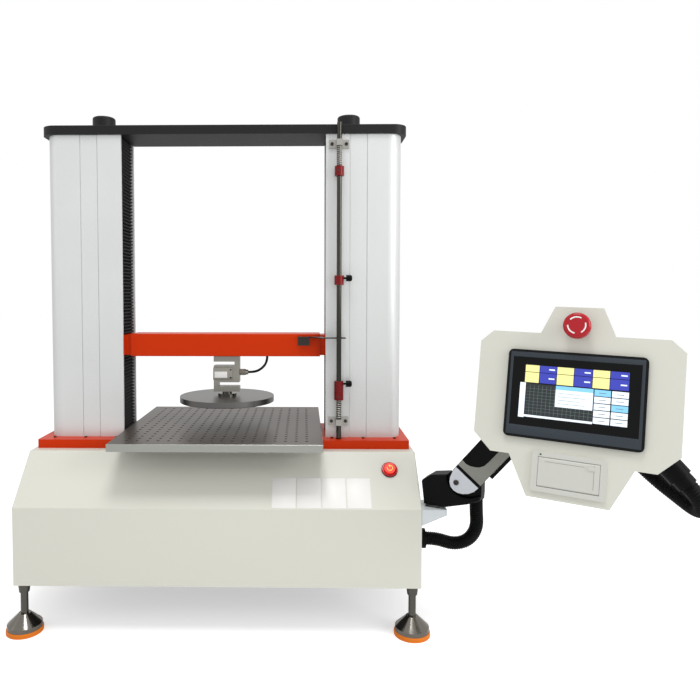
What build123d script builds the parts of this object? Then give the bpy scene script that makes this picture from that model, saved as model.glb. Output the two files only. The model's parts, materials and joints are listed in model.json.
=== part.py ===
# Foam fatigue testing machine, in millimetres.
# The origin is on the floor under the load axis. X points right, Y to the back and Z up.
from math import atan2, cos, degrees, hypot, radians, sin, sqrt, tan
import os

from build123d import *

os.makedirs("parts", exist_ok=True)

# Fits between pieces
running_fit = 0.05  # radial clearance of a shaft that turns or slides
hairline = 0.05  # keeps pieces that share a file apart where they rest on each other
side_play = 0.5  # clearance beside a hinge tongue or under a turning collar
body_gap = 0.3  # between soft or sliding pieces and their seats
sheet = 2.0  # thickness of the bent sheet metal

# Load table
table_size = 400.0
table_lift = 19.0  # from the orange plate's top to the table's
table_plate = 5.0
table_rim_height = 14.2
table_rim = 3.0
table_hole_radius = 3.0
table_hole_pitch = 20.0
table_hole_count = int(table_size / table_hole_pitch) - 2
rail_length = table_size - 60.0
rail_width = 24.0
rail_spacing = 116.0

# Columns: inner and outer faces are distances from the load axis
column_gap = 9.0  # between the table's edge and a column
column_width = 155.0
column_inner = table_size / 2 + column_gap
column_outer = column_inner + column_width
column_depth = 100.0
column_wall = 5.0
column_corner = 28.0
column_height = 619.5
groove_inner = column_inner + 49.0
groove_outer = groove_inner + 35.0
groove_width = 1.4
groove_depth = 2.0
strip_depth = 0.8

# Levelling feet
pad_radius = 34.0
pad_height = 8.0
foot_ring_height = 8.0
foot_cone_height = 20.0
foot_cone_radius = 32.0
foot_neck_radius = 11.0
foot_stem_radius = 7.0
foot_nut_height = 17.0
foot_nut_top_radius = 11.5
foot_nut_low_radius = 9.5
foot_inset = 15.0  # from the housing's walls to the stems
ground_clearance = 94.0  # from the floor to the housing

# Base housing and its frame
side_margin = 21.0  # from a column's outer face to the housing's side
base_width = 2 * (column_outer + side_margin)
base_depth = 365.0
front_height = 149.0
slope_run = 83.0
slope_rise = 89.0
bend_radius = 2.5
floor_plate = 6.0
post_size = 40.0
post_wall = 4.0
post_x = column_outer - 24.0
front_post_inset = 130.5  # from the housing's front to the middle of a front post
rear_post_inset = 114.5
service_width = base_width - 170.0
service_height = 180.0
service_lap = 15.0
vent_width = 42.0
vent_height = 4.0

# Orange plate under the columns
base_plate_width = 2 * (column_outer + 13.0)
base_plate_depth = 175.0
base_plate_front = -column_depth / 2 - 29.5
base_plate_thickness = 17.5

# Top plate and its caps
top_plate_width = 2 * (column_outer + 10.0)
top_plate_depth = column_depth + 9.0
top_plate_thickness = 18.5
cap_radius = 23.5
cap_height = 28.5

# Lead screws, bearings, guide rods and the belt drive
screw_x = groove_inner
screw_radius = 12.5
journal_radius = 8.5
journal_lap = 3.0  # how far a journal reaches past its bearing
bearing_radius = 20.0
bearing_height = 12.0
guide_x = screw_x + 60.0
guide_radius = 10.0
guide_socket = 8.0
pulley_radius = 25.0
pulley_height = 18.0
pulley_drop = 14.0  # from the pulleys' tops to the housing's top
motor_y = 60.0
motor_pulley_radius = 12.5
motor_shaft_radius = 7.5
motor_size = 90.0
motor_height = 170.0
belt_thickness = 2.0
belt_width = 14.0

# Crosshead: a beam whose ends run inside the columns
crosshead_lift = 189.0  # from the orange plate's top to the beam's middle
beam_height = 42.0
beam_depth = 56.0
carrier_depth = column_depth - 14.0
carrier_end = column_outer - 20.0
carrier_start = column_inner + 2.0
cover_half_width = column_inner - 11.0
cover_depth = 64.0
cover_height = 47.0
nut_radius = 19.0
nut_flange_radius = 27.0
nut_flange_height = 8.0
bush_radius = 16.0
bush_overhang = 5.0
bellows_start = carrier_start
bellows_thickness = 11.0
bellows_depth = column_depth - 12.0

# Load cell and platen
cell_width = 54.4
cell_height = 75.0
cell_depth = 25.0
cell_slot = 8.5
cell_web = 10.0
cell_slot_height = 22.0  # from the cell's middle to the middle of each slot
stud_radius = 6.0
stud_depth = 9.0
washer_radius = 12.0
washer_height = 2.0
cell_gland_lift = 40.5  # above the cell's foot
cell_gland_radius = 7.5
cell_gland_length = 18.0
platen_radius = 100.0
platen_thickness = 12.0
hub_radius = 20.0
hub_height = 5.0
hub_neck_radius = 10.5
hub_neck_height = 4.4

# Limit rod, with its collars and brackets
rod_x = column_inner + 26.5
rod_y = -column_depth / 2 - 14.0
rod_radius = 5.0
rod_above_column = 20.0
rod_below_base_plate = 16.0
collar_radius = 9.5
collar_height = 19.0
spring_length = 47.0  # between the upper bracket's middle and its collar
lower_spring_length = 45.6
stop_above_trip = 106.5  # from the trip plate up to the upper stop collar
bracket_block = 12.5
bracket_flange_width = 41.0
bracket_flange_height = 17.0
bracket_flange_thickness = 3.0
bracket_front = rod_y - 8.0
upper_bracket_drop = 21.0
lower_bracket_lift = 34.5
spring_radius = 6.3
spring_wire = 1.0
thumb_stem_radius = 2.0
thumb_knob_radius = 6.5
thumb_knob_length = 12.0
thumb_stem_length = 5.0
thumb_lift = 4.0  # the thumb screw sits this far above its collar's middle
trip_left = rod_x - 83.5
trip_right = rod_x + 13.5
trip_bracket_width = 24.0
trip_bracket_height = 19.0
trip_lift = 18.5  # above the beam's middle
trip_thickness = 2.0
trip_front = rod_y - 11.0
trip_hole_radius = 8.0

# Power switch on the slope
switch_x = base_width / 2 - 54.0
switch_up_slope = 81.6
switch_flange_radius = 15.5
switch_flange = 3.0
switch_barrel_radius = 11.0
switch_barrel_length = 30.0
switch_wall = 2.2
power_cap_radius = 10.8
power_cap_proud = 6.0
power_travel = 3.0

# Arm that carries the pendant
shelf_width = 46.5
shelf_front = 0.5 - base_depth / 2
shelf_depth = 60.0
shelf_top = ground_clearance + front_height
shelf_wall_drop = 30.0
shelf_end_drop = 10.0
shelf_plate = 3.0
swivel_x = base_width / 2 + 29.0
swivel_y = 30.5 - base_depth / 2
post_base_radius = 17.0
post_base_height = 4.0
post_pin_radius = 8.0
knuckle_radius = 18.5
knuckle_height = 58.0
knuckle_roof = 14.0
knuckle_half_width = 20.0
knuckle_reach = 30.0
knuckle_crown = 5.0  # how much higher the body is at its outer end than the barrel
knuckle_corner = 1.0  # outline radii: foot, shoulders, outer end
knuckle_shoulder = 6.0
knuckle_tip = 3.0
knuckle_edge = 5.0
knuckle_back = 14.5
knuckle_foot_reach = 25.0
knuckle_nose_reach = 84.0
knuckle_nose_drop = 36.0
chin_drop_below_pivot = 47.0
tongue_root_radius = 20.0
tongue_nose_radius = 8.0
tongue_nose_drop = 30.0
barrel_short = 12.0  # the round barrel stops this far below the knuckle's top
pivot_reach = 65.0
pivot_height = shelf_top + 66.0
wrist_pivot_height = pivot_height + 172.0
wrist_reach = 44.0
link_radius = 27.0
link_nose_radius = 20.0
link_nose = 14.0  # how far the rounder lower end reaches past the pivot
link_nose_room = 36.0
link_half_width = 23.0
link_wall = 5.0
link_end_clearance = 38.0
link_bulkhead = 4.0
link_strip = 6.0
gas_spring_radius = 11.0
tongue_half_width = 13.0
pivot_pin_radius = 6.0
wrist_post_radius = 15.0
wrist_root_radius = 21.0
wrist_nose_radius = 12.0
wrist_post_low = wrist_pivot_height - 1.0
wrist_post_top = wrist_pivot_height + 25.0
wrist_pin_radius = 7.0
head_radius = 16.0
head_pocket_radius = 21.0  # room under the wrist for the turning head
head_low = wrist_pivot_height - 34.0
head_reach = 30.0
head_tongue_half_width = 11.0
tilt_pin_radius = 4.0
tilt_ear_radius = 8.5
tilt_ear_thickness = 5.0
tilt_offset = 18.0  # from the pendant's back to the tilt pin

# Pendant: its place, its turn to the left, its lean back and its roll in degrees
pendant_x = swivel_x + 179.0
pendant_y = swivel_y - 201.9
pendant_z = wrist_pivot_height + 111.1
pendant_turn = 27.7
pendant_lean = 9.7
pendant_roll = 1.8
pendant_thickness = 60.0
pendant_mount_down = 110.0  # from the emergency stop to the tilt pin's level
crown_half_top = 35.0
crown_half_foot = 54.0
crown_rise = 31.5
shoulder_drop = 12.0
shoulder_half = 127.0
side_half = 146.5
side_top_drop = 30.0
side_foot_drop = 180.0
skirt_drop = 208.0
skirt_half = 118.0
notch_half = 89.0
chin_half = 59.0
chin_drop = 270.0

# Touch panel, printer and emergency stop on the pendant
panel_width = 199.0
panel_height = 139.4
panel_top_drop = 40.6
panel_proud = 6.0
panel_depth = 34.0
panel_lip = 4.0
glass_width = 181.0
glass_height = 107.0
glass_top_drop = 53.2
glass_thickness = 1.5
printer_width = 106.0
printer_height = 61.5
printer_top_drop = 198.0
printer_proud = 4.0
printer_depth = 42.0
printer_lip = 4.0
door_width = 88.0
door_height = 46.0
door_thickness = 5.0
door_play = 0.5
door_floor = -1.0
latch_width = 9.0
latch_height = 6.0
stop_head_radius = 20.0
stop_head_height = 14.0
stop_head_low = 14.0
stop_neck_radius = 8.0
stop_collar_radius = 15.0
stop_collar_height = 5.0
stop_barrel_radius = 11.0
stop_barrel_length = 30.0
stop_travel = 4.0

# Conduits and the load cell's cable
hose_radius = 12.5
hose_flange_radius = 18.5
hose_flange_length = 13.0
hose_exit_y = 42.5 - base_depth / 2
hose_exit_z = shelf_top - 69.0
gland_radius = 15.0
gland_low = shelf_top + 15.0
gland_height = 30.0
gland_plate_low = gland_low + 4.5
gland_plate = 10.0
gland_behind_arm = 41.8
gland_past_pivot = 2.9
head_gland_length = 22.0
connector_radius = 17.5
connector_nut = 22.0
connector_length = 36.0
connector_neck_radius = 14.5
cable_radius = 2.6
cable_entry_x = cell_width / 2 + 58.8
# Each conduit's points: the first ones from its start, the last ones from its other end
lower_hose_from_wall = [(22, 0, 0), (54, -0.5, -11), (83, -3, -3), (99, -6, 23)]
lower_hose_last_run = 24.0
upper_hose_start_at = (24.99, -10.94, -25.58)  # from the head's pin
upper_hose_from_head = [
    (40.84, -21.2, -48.89),
    (59, -35.4, -77.6),
    (78.5, -53.9, -102.6),
    (95, -78.9, -122.1),
    (108, -105.4, -135.6),
]
upper_hose_from_connector = [
    (26.29, 27.79, -41.53),
    (26.42, 9.43, -39.26),
    (20.19, -4.25, -28.49),
]
upper_hose_last_run = 18.55
cable_from_gland = [(11.75, 0, 0), (24.75, 0, 4.5), (35.75, 0, 14.5)]
cable_last_run = 10.0
bend_share = 0.45

# Mains inlet, control unit and limit switches
inlet_x = 35.0 - base_width / 2
inlet_z = 150.0
inlet_width = 50.0
inlet_height = 28.0
inlet_flange = 3.0
inlet_depth = 30.0
inlet_well = 18.0
drive_box = (120.0, 80.0, 150.0)
drive_box_at = (-210.0, base_depth / 2 - 112.5)
supply_box = (150.0, 90.0, 90.0)
supply_box_at = (190.0, base_depth / 2 - 72.5)
switch_block = (22.0, 18.0, 14.0)
switch_bracket = 3.0
switch_gap = 6.0  # under the limit rod at rest

# Levels and faces that follow from the sizes above
base_front = -base_depth / 2
base_rear = base_depth / 2
crease_z = ground_clearance + front_height
base_top = crease_z + slope_rise
slope_length = hypot(slope_run, slope_rise)
floor_z = ground_clearance + floor_plate
base_plate_top = base_top + base_plate_thickness
base_plate_middle = base_plate_front + base_plate_depth / 2
column_top = base_plate_top + column_height
top_plate_top = column_top + top_plate_thickness
table_top = base_plate_top + table_lift
crosshead_height = base_plate_top + crosshead_lift
beam_low = crosshead_height - beam_height / 2
beam_top = crosshead_height + beam_height / 2
cover_low = crosshead_height - cover_height / 2
cover_front = -cover_depth / 2
cell_top = cover_low - washer_height
cell_low = cell_top - cell_height
cell_gland_height = cell_low + cell_gland_lift
platen_top = cell_low - hub_height - hub_neck_height
platen_low = platen_top - platen_thickness
table_plate_low = table_top - table_plate
pulley_top = base_top - pulley_drop
pulley_low = pulley_top - pulley_height
belt_low = pulley_low + (pulley_height - belt_width) / 2
foot_x = base_width / 2 - foot_inset
foot_y = base_depth / 2 - foot_inset
rod_low = base_top - rod_below_base_plate
rod_top = column_top + rod_above_column
trip_top = crosshead_height + trip_lift
upper_stop_height = trip_top + stop_above_trip + collar_height / 2
upper_bracket_height = column_top - upper_bracket_drop
lower_bracket_height = base_plate_top + lower_bracket_lift
upper_seat_height = upper_bracket_height - spring_length - collar_height / 2
lower_seat_bottom = lower_bracket_height + lower_spring_length
lower_stop_bottom = lower_seat_bottom + collar_height
low = (Align.CENTER, Align.CENTER, Align.MIN)
high = (Align.CENTER, Align.CENTER, Align.MAX)


def at_feet(z):
    return [(x, y, z) for x in (-foot_x, foot_x) for y in (-foot_y, foot_y)]


def both_sides(x, z=0.0, y=0.0):
    return [(-x, y, z), (x, y, z)]


# Levelling feet: soft pads, chromed bases, and stems held by flared lock nuts
with BuildPart() as foot_pads:
    with Locations(*at_feet(0)):
        Cylinder(pad_radius, pad_height, align=low)
    fillet(foot_pads.edges().filter_by(GeomType.CIRCLE).group_by(Axis.Z)[-1], 2)
foot_pads.part.label = "foot_pads"
export_step(foot_pads.part, "parts/foot_pads.step")

foot_base_top = pad_height + foot_ring_height + foot_cone_height
with BuildPart() as foot_bases:
    with Locations(*at_feet(pad_height)):
        Cylinder(foot_cone_radius, foot_ring_height, align=low)
    with Locations(*at_feet(pad_height + foot_ring_height)):
        Cone(foot_cone_radius, foot_neck_radius, foot_cone_height, align=low)
foot_bases.part.label = "foot_bases"
export_step(foot_bases.part, "parts/foot_bases.step")

with BuildPart() as foot_bolts:
    with Locations(*at_feet(ground_clearance - foot_nut_height)):
        Cone(foot_nut_low_radius, foot_nut_top_radius, foot_nut_height, align=low)
        Cylinder(foot_stem_radius + hairline, foot_nut_height, align=low, mode=Mode.SUBTRACT)
    with Locations(*at_feet(foot_base_top)):
        Cylinder(foot_stem_radius, floor_z + foot_stem_radius - foot_base_top, align=low)
foot_bolts.part.label = "foot_bolts"
export_step(foot_bolts.part, "parts/foot_bolts.step")

# Welded frame inside the base: floor plate and four posts under the column plate
post_rows = (base_front + front_post_inset, base_rear - rear_post_inset)
post_places = [(x, y) for x in (-post_x, post_x) for y in post_rows]
with BuildPart() as base_frame:
    with BuildSketch(Plane.XY.offset(ground_clearance)):
        Rectangle(base_width - 2 * (sheet + body_gap), base_depth - 2 * (sheet + body_gap))
        with GridLocations(2 * foot_x, 2 * foot_y, 2, 2):
            Circle(foot_stem_radius, mode=Mode.SUBTRACT)
    extrude(amount=floor_plate)
    with BuildSketch(Plane.XY.offset(floor_z)):
        with Locations(*post_places):
            Rectangle(post_size, post_size)
            Rectangle(post_size - 2 * post_wall, post_size - 2 * post_wall, mode=Mode.SUBTRACT)
    extrude(amount=base_top - sheet - floor_z)
base_frame.part.label = "base_frame"
export_step(base_frame.part, "parts/base_frame.step")

# Base housing: front, slope, top, rear and sides of bent sheet, open underneath
housing_profile = [
    (base_front, ground_clearance),
    (base_front, crease_z),
    (base_front + slope_run, base_top),
    (base_rear, base_top),
    (base_rear, ground_clearance),
]
slope_plane = Plane(
    origin=(0, base_front, crease_z),
    x_dir=(1, 0, 0),
    z_dir=(0, -slope_rise, slope_run),
)
rear_plane = Plane(origin=(0, base_rear, 0), x_dir=(-1, 0, 0), z_dir=(0, 1, 0))
service_middle = ground_clearance + (base_top - ground_clearance) / 2
side_plane = Plane.YZ.offset(base_width / 2)

with BuildPart() as base_housing:
    with BuildSketch(Plane.YZ.offset(-base_width / 2)):
        with BuildLine():
            Polyline(*housing_profile, close=True)
        make_face()
    extrude(amount=base_width)
    lower_edges = base_housing.edges().group_by(Axis.Z)[0]
    fillet(base_housing.edges() - lower_edges, bend_radius)
    with BuildSketch(Plane.YZ.offset(sheet - base_width / 2)):
        with BuildLine():
            Polyline(*housing_profile, close=True)
        make_face()
        offset(amount=-sheet, kind=Kind.INTERSECTION, mode=Mode.REPLACE)
    extrude(amount=base_width - 2 * sheet, mode=Mode.SUBTRACT)
    with BuildSketch(Plane.XY.offset(ground_clearance)):
        Rectangle(base_width - 2 * sheet, base_depth - 2 * sheet)
    extrude(amount=sheet, mode=Mode.SUBTRACT)
    with BuildSketch(rear_plane):
        with Locations((0, service_middle)):
            Rectangle(service_width, service_height)
        with Locations((-inlet_x, inlet_z)):
            Rectangle(inlet_width - 6, inlet_height - 6)
    extrude(amount=-sheet, mode=Mode.SUBTRACT)
    with BuildSketch(slope_plane):
        with Locations((switch_x, switch_up_slope)):
            Circle(switch_barrel_radius + body_gap)
    extrude(amount=-2 * sheet, mode=Mode.SUBTRACT)
    with BuildSketch(side_plane):
        with Locations((hose_exit_y, hose_exit_z)):
            Circle(hose_radius)
    extrude(amount=-sheet, mode=Mode.SUBTRACT)
    with BuildSketch(Plane.XY.offset(base_top)):
        with Locations((-screw_x, 0), (screw_x, 0)):
            Circle(bearing_radius)
        with Locations((rod_x, rod_y)):
            Circle(rod_radius + 2)
    extrude(amount=-sheet, mode=Mode.SUBTRACT)
base_housing.part.label = "base_housing"
export_step(base_housing.part, "parts/base_housing.step")

# Rear service cover with two banks of vents
with BuildPart() as rear_cover:
    with BuildSketch(rear_plane) as cover_sketch:
        with Locations((0, service_middle)):
            Rectangle(service_width + 2 * service_lap, service_height + 2 * service_lap)
        fillet(cover_sketch.vertices(), 4)
        for bank in (-service_width / 4, service_width / 4):
            with Locations((bank, service_middle)):
                with GridLocations(vent_width + 18, 3 * vent_height, 3, 6):
                    SlotOverall(vent_width, vent_height, mode=Mode.SUBTRACT)
    extrude(amount=sheet)
rear_cover.part.label = "rear_cover"
export_step(rear_cover.part, "parts/rear_cover.step")

# Mains inlet: a flanged socket in the rear wall
with BuildPart() as mains_inlet:
    with BuildSketch(rear_plane):
        with Locations((-inlet_x, inlet_z)):
            RectangleRounded(inlet_width, inlet_height, 3)
    extrude(amount=inlet_flange)
    with BuildSketch(rear_plane):
        with Locations((-inlet_x, inlet_z)):
            Rectangle(inlet_width - 6, inlet_height - 6)
    extrude(amount=-inlet_depth)
    with BuildSketch(rear_plane.offset(inlet_flange)):
        with Locations((-inlet_x, inlet_z)):
            RectangleRounded(inlet_width - 22, inlet_height - 10, 2)
    extrude(amount=-inlet_well, mode=Mode.SUBTRACT)
mains_inlet.part.label = "mains_inlet"
export_step(mains_inlet.part, "parts/mains_inlet.step")

# Orange plate: carries the columns, the lower bearings and the guide rods
with BuildPart() as column_base_plate:
    with BuildSketch(Plane.XY.offset(base_top)):
        with Locations((0, base_plate_middle)):
            Rectangle(base_plate_width, base_plate_depth)
        with Locations((-screw_x, 0), (screw_x, 0)):
            Circle(journal_radius + 3, mode=Mode.SUBTRACT)
        with Locations((rod_x, rod_y)):
            Circle(rod_radius + 1, mode=Mode.SUBTRACT)
    extrude(amount=base_plate_thickness)
    fillet(column_base_plate.edges().filter_by(Axis.Z).group_by(Axis.X)[0], 3)
    fillet(column_base_plate.edges().filter_by(Axis.Z).group_by(Axis.X)[-1], 3)
    with BuildSketch(Plane.XY.offset(base_plate_top)):
        with Locations((-screw_x, 0), (screw_x, 0)):
            Circle(bearing_radius)
    extrude(amount=-bearing_height, mode=Mode.SUBTRACT)
    with BuildSketch(Plane.XY.offset(base_plate_top)):
        with Locations((-guide_x, 0), (guide_x, 0)):
            Circle(guide_radius)
    extrude(amount=-guide_socket, mode=Mode.SUBTRACT)
column_base_plate.part.label = "column_base_plate"
export_step(column_base_plate.part, "parts/column_base_plate.step")

# Columns: open aluminium extrusions with a shallow strip between two grooves
with BuildPart() as right_column:
    with BuildSketch(Plane.XY.offset(base_plate_top)) as column_outline:
        with Locations(((column_inner + column_outer) / 2, 0)):
            Rectangle(column_outer - column_inner, column_depth)
        fillet(column_outline.vertices().group_by(Axis.X)[-1], column_corner)
        for face in (-column_depth / 2, column_depth / 2):
            with Locations(((groove_inner + groove_outer) / 2, face)):
                Rectangle(groove_outer - groove_inner, 2 * strip_depth, mode=Mode.SUBTRACT)
            with Locations((groove_inner, face), (groove_outer, face)):
                Rectangle(groove_width, 2 * groove_depth, mode=Mode.SUBTRACT)
    extrude(amount=column_height)
    with BuildSketch(Plane.XY.offset(base_plate_top)) as column_cavity:
        with Locations(((column_inner + column_outer - 2 * column_wall) / 2, 0)):
            Rectangle(column_outer - column_inner, column_depth - 2 * column_wall)
        fillet(column_cavity.vertices().group_by(Axis.X)[-1], column_corner - column_wall)
    extrude(amount=column_height, mode=Mode.SUBTRACT)
right_column.part.label = "right_column"
export_step(right_column.part, "parts/right_column.step")

with BuildPart() as left_column:
    mirror(right_column.part, about=Plane.YZ)
left_column.part.label = "left_column"
export_step(left_column.part, "parts/left_column.step")

# Top plate with the caps that cover the screws' ends
with BuildPart() as top_plate:
    with BuildSketch(Plane.XY.offset(column_top)):
        RectangleRounded(top_plate_width, top_plate_depth, column_corner)
    extrude(amount=top_plate_thickness)
    fillet(top_plate.edges().group_by(Axis.Z)[-1], 1)
    with BuildSketch(Plane.XY.offset(column_top)):
        with Locations((-screw_x, 0), (screw_x, 0)):
            Circle(bearing_radius)
    extrude(amount=bearing_height, mode=Mode.SUBTRACT)
    with BuildSketch(Plane.XY.offset(column_top)):
        with Locations((-screw_x, 0), (screw_x, 0)):
            Circle(journal_radius + 3)
    extrude(amount=top_plate_thickness, mode=Mode.SUBTRACT)
    with BuildSketch(Plane.XY.offset(column_top)):
        with Locations((-guide_x, 0), (guide_x, 0)):
            Circle(guide_radius)
    extrude(amount=guide_socket, mode=Mode.SUBTRACT)
    with Locations(*both_sides(screw_x, top_plate_top + hairline)):
        Cylinder(cap_radius, cap_height, align=low)
    fillet(top_plate.edges().filter_by(GeomType.CIRCLE).group_by(Axis.Z)[-1], 4)
top_plate.part.label = "top_plate"
export_step(top_plate.part, "parts/top_plate.step")

# Lead screws, each with its belt pulley; the nuts hide the screw thread, so the shaft is plain
screw_low = base_plate_top + side_play
screw_top = column_top - side_play
with BuildPart() as right_lead_screw:
    with Locations((screw_x, 0, screw_low)):
        Cylinder(screw_radius, screw_top - screw_low, align=low)
        Cylinder(journal_radius, screw_low - pulley_low, align=high)
    with Locations((screw_x, 0, screw_top)):
        Cylinder(journal_radius, side_play + bearing_height + journal_lap, align=low)
    with Locations((screw_x, 0, pulley_low)):
        pulley_blank = Cylinder(pulley_radius, pulley_height, align=low, mode=Mode.PRIVATE)
        pulley_bore = Cylinder(journal_radius + hairline, pulley_height, align=low, mode=Mode.PRIVATE)
    add(pulley_blank - pulley_bore)
right_lead_screw.part.label = "right_lead_screw"
export_step(right_lead_screw.part, "parts/right_lead_screw.step")

with BuildPart() as left_lead_screw:
    mirror(right_lead_screw.part, about=Plane.YZ)
left_lead_screw.part.label = "left_lead_screw"
export_step(left_lead_screw.part, "parts/left_lead_screw.step")

with BuildPart() as screw_bearings:
    for bearing_z in (base_plate_top - bearing_height, column_top):
        with BuildSketch(Plane.XY.offset(bearing_z)):
            with Locations((-screw_x, 0), (screw_x, 0)):
                Circle(bearing_radius)
                Circle(journal_radius + running_fit, mode=Mode.SUBTRACT)
        extrude(amount=bearing_height)
screw_bearings.part.label = "screw_bearings"
export_step(screw_bearings.part, "parts/screw_bearings.step")

with BuildPart() as guide_rods:
    with Locations(*both_sides(guide_x, base_plate_top - guide_socket)):
        Cylinder(guide_radius, column_height + 2 * guide_socket, align=low)
guide_rods.part.label = "guide_rods"
export_step(guide_rods.part, "parts/guide_rods.step")

# Drive: motor on the floor plate, its pulley, and the belt round all three pulleys
with BuildPart() as drive_motor:
    with Locations((0, motor_y, floor_z)):
        Box(motor_size, motor_size, motor_height, align=low)
        Cylinder(motor_size / 3, motor_height + 6, align=low)
        Cylinder(motor_shaft_radius + running_fit, motor_height + 6, align=low, mode=Mode.SUBTRACT)
    fillet(drive_motor.edges().filter_by(Axis.Z).filter_by(GeomType.LINE), 6)
drive_motor.part.label = "drive_motor"
export_step(drive_motor.part, "parts/drive_motor.step")

with BuildPart() as motor_pulley:
    with Locations((0, motor_y, floor_z + body_gap)):
        Cylinder(motor_shaft_radius, pulley_top - floor_z - body_gap, align=low)
    with BuildSketch(Plane.XY.offset(pulley_low)):
        with Locations((0, motor_y)):
            Circle(motor_pulley_radius)
            Circle(motor_shaft_radius + hairline, mode=Mode.SUBTRACT)
    extrude(amount=pulley_height)
motor_pulley.part.label = "motor_pulley"
export_step(motor_pulley.part, "parts/motor_pulley.step")

with BuildPart() as drive_belt:
    for clearance, side in ((body_gap + belt_thickness, Mode.ADD), (body_gap, Mode.SUBTRACT)):
        with BuildSketch(Plane.XY.offset(belt_low)):
            with Locations((-screw_x, 0), (screw_x, 0)):
                Circle(pulley_radius + clearance)
            with Locations((0, motor_y)):
                Circle(motor_pulley_radius + clearance)
            make_hull()
        extrude(amount=belt_width, mode=side)
drive_belt.part.label = "drive_belt"
export_step(drive_belt.part, "parts/drive_belt.step")

# Control unit: motor drive, power supply, and the switch under the limit rod
with BuildPart() as control_unit:
    with Locations((*drive_box_at, floor_z)):
        Box(*drive_box, align=low)
    with Locations((*supply_box_at, floor_z)):
        Box(*supply_box, align=low)
    switch_top = rod_low - switch_gap
    bracket_x = rod_x + switch_block[0] / 2
    with Locations((rod_x, rod_y, switch_top)):
        Box(*switch_block, align=high)
    with Locations((bracket_x, rod_y, base_top - sheet)):
        Box(switch_bracket, switch_block[1], base_top - sheet - switch_top + switch_block[2], align=high)
control_unit.part.label = "control_unit"
export_step(control_unit.part, "parts/control_unit.step")

# Crosshead: the beam's wider ends run inside the columns and hold nuts and bushes
with BuildPart() as crosshead_beam:
    with BuildSketch(Plane.XY.offset(beam_low)):
        Rectangle(2 * carrier_start, beam_depth)
        with Locations(*both_sides((carrier_start + carrier_end) / 2)):
            Rectangle(carrier_end - carrier_start, carrier_depth)
        with Locations((-screw_x, 0), (screw_x, 0)):
            Circle(nut_radius, mode=Mode.SUBTRACT)
        with Locations((-guide_x, 0), (guide_x, 0)):
            Circle(bush_radius, mode=Mode.SUBTRACT)
        Circle(stud_radius, mode=Mode.SUBTRACT)
    extrude(amount=beam_height)
crosshead_beam.part.label = "crosshead_beam"
export_step(crosshead_beam.part, "parts/crosshead_beam.step")

with BuildPart() as crosshead_bearings:
    with BuildSketch(Plane.XY.offset(beam_low)):
        with Locations((-screw_x, 0), (screw_x, 0)):
            Circle(nut_radius)
            Circle(screw_radius + running_fit, mode=Mode.SUBTRACT)
    extrude(amount=beam_height)
    with BuildSketch(Plane.XY.offset(beam_low)):
        with Locations((-screw_x, 0), (screw_x, 0)):
            Circle(nut_flange_radius)
            Circle(screw_radius + running_fit, mode=Mode.SUBTRACT)
    extrude(amount=-nut_flange_height)
    with BuildSketch(Plane.XY.offset(beam_low - bush_overhang)):
        with Locations((-guide_x, 0), (guide_x, 0)):
            Circle(bush_radius)
            Circle(guide_radius + running_fit, mode=Mode.SUBTRACT)
    extrude(amount=beam_height + 2 * bush_overhang)
crosshead_bearings.part.label = "crosshead_bearings"
export_step(crosshead_bearings.part, "parts/crosshead_bearings.step")

with BuildPart() as crosshead_cover:
    with Locations((0, 0, cover_low)):
        Box(2 * cover_half_width, cover_depth, cover_height, align=low)
    fillet(crosshead_cover.edges().filter_by(Axis.X), 1.5)
    with Locations((0, 0, cover_low + sheet)):
        Box(
            2 * cover_half_width,
            cover_depth - 2 * sheet,
            cover_height - 2 * sheet,
            align=low,
            mode=Mode.SUBTRACT,
        )
    with BuildSketch(Plane.XY.offset(cover_low)):
        Circle(stud_radius + hairline)
        with Locations((cable_entry_x, 0)):
            Circle(cable_radius + 1)
    extrude(amount=sheet, mode=Mode.SUBTRACT)
crosshead_cover.part.label = "crosshead_cover"
export_step(crosshead_cover.part, "parts/crosshead_cover.step")

# Trip bracket: its plate reaches round the limit rod and pushes the stop collars
column_front = -column_depth / 2
trip_outline = [
    (trip_left, cover_front),
    (column_inner - 12, cover_front),
    (column_inner - 4, column_front - 4),
    (trip_right, column_front - 4),
    (trip_right, trip_front),
    (column_inner - 10, trip_front),
    (trip_left + trip_bracket_width, cover_front - 14),
    (trip_left, cover_front - 14),
]
with BuildPart() as trip_bracket:
    with BuildSketch(Plane.XY.offset(trip_top - trip_thickness)):
        with BuildLine():
            Polyline(*trip_outline, close=True)
        make_face()
        with Locations((rod_x, rod_y)):
            Circle(trip_hole_radius, mode=Mode.SUBTRACT)
    extrude(amount=trip_thickness)
    with Locations((trip_left + trip_bracket_width / 2, cover_front, trip_top)):
        Box(
            trip_bracket_width,
            trip_thickness,
            trip_bracket_height,
            align=(Align.CENTER, Align.MAX, Align.MAX),
        )
trip_bracket.part.label = "trip_bracket"
export_step(trip_bracket.part, "parts/trip_bracket.step")

# Bellows that close the columns' slots above and below the crosshead
bellows_x = bellows_start + bellows_thickness / 2
with BuildPart() as upper_bellows:
    with Locations(*both_sides(bellows_x, beam_top + body_gap)):
        Box(bellows_thickness, bellows_depth, column_top - beam_top - body_gap, align=low)
upper_bellows.part.label = "upper_bellows"
export_step(upper_bellows.part, "parts/upper_bellows.step")

with BuildPart() as lower_bellows:
    with Locations(*both_sides(bellows_x, base_plate_top)):
        Box(bellows_thickness, bellows_depth, beam_low - body_gap - base_plate_top, align=low)
lower_bellows.part.label = "lower_bellows"
export_step(lower_bellows.part, "parts/lower_bellows.step")

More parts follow.
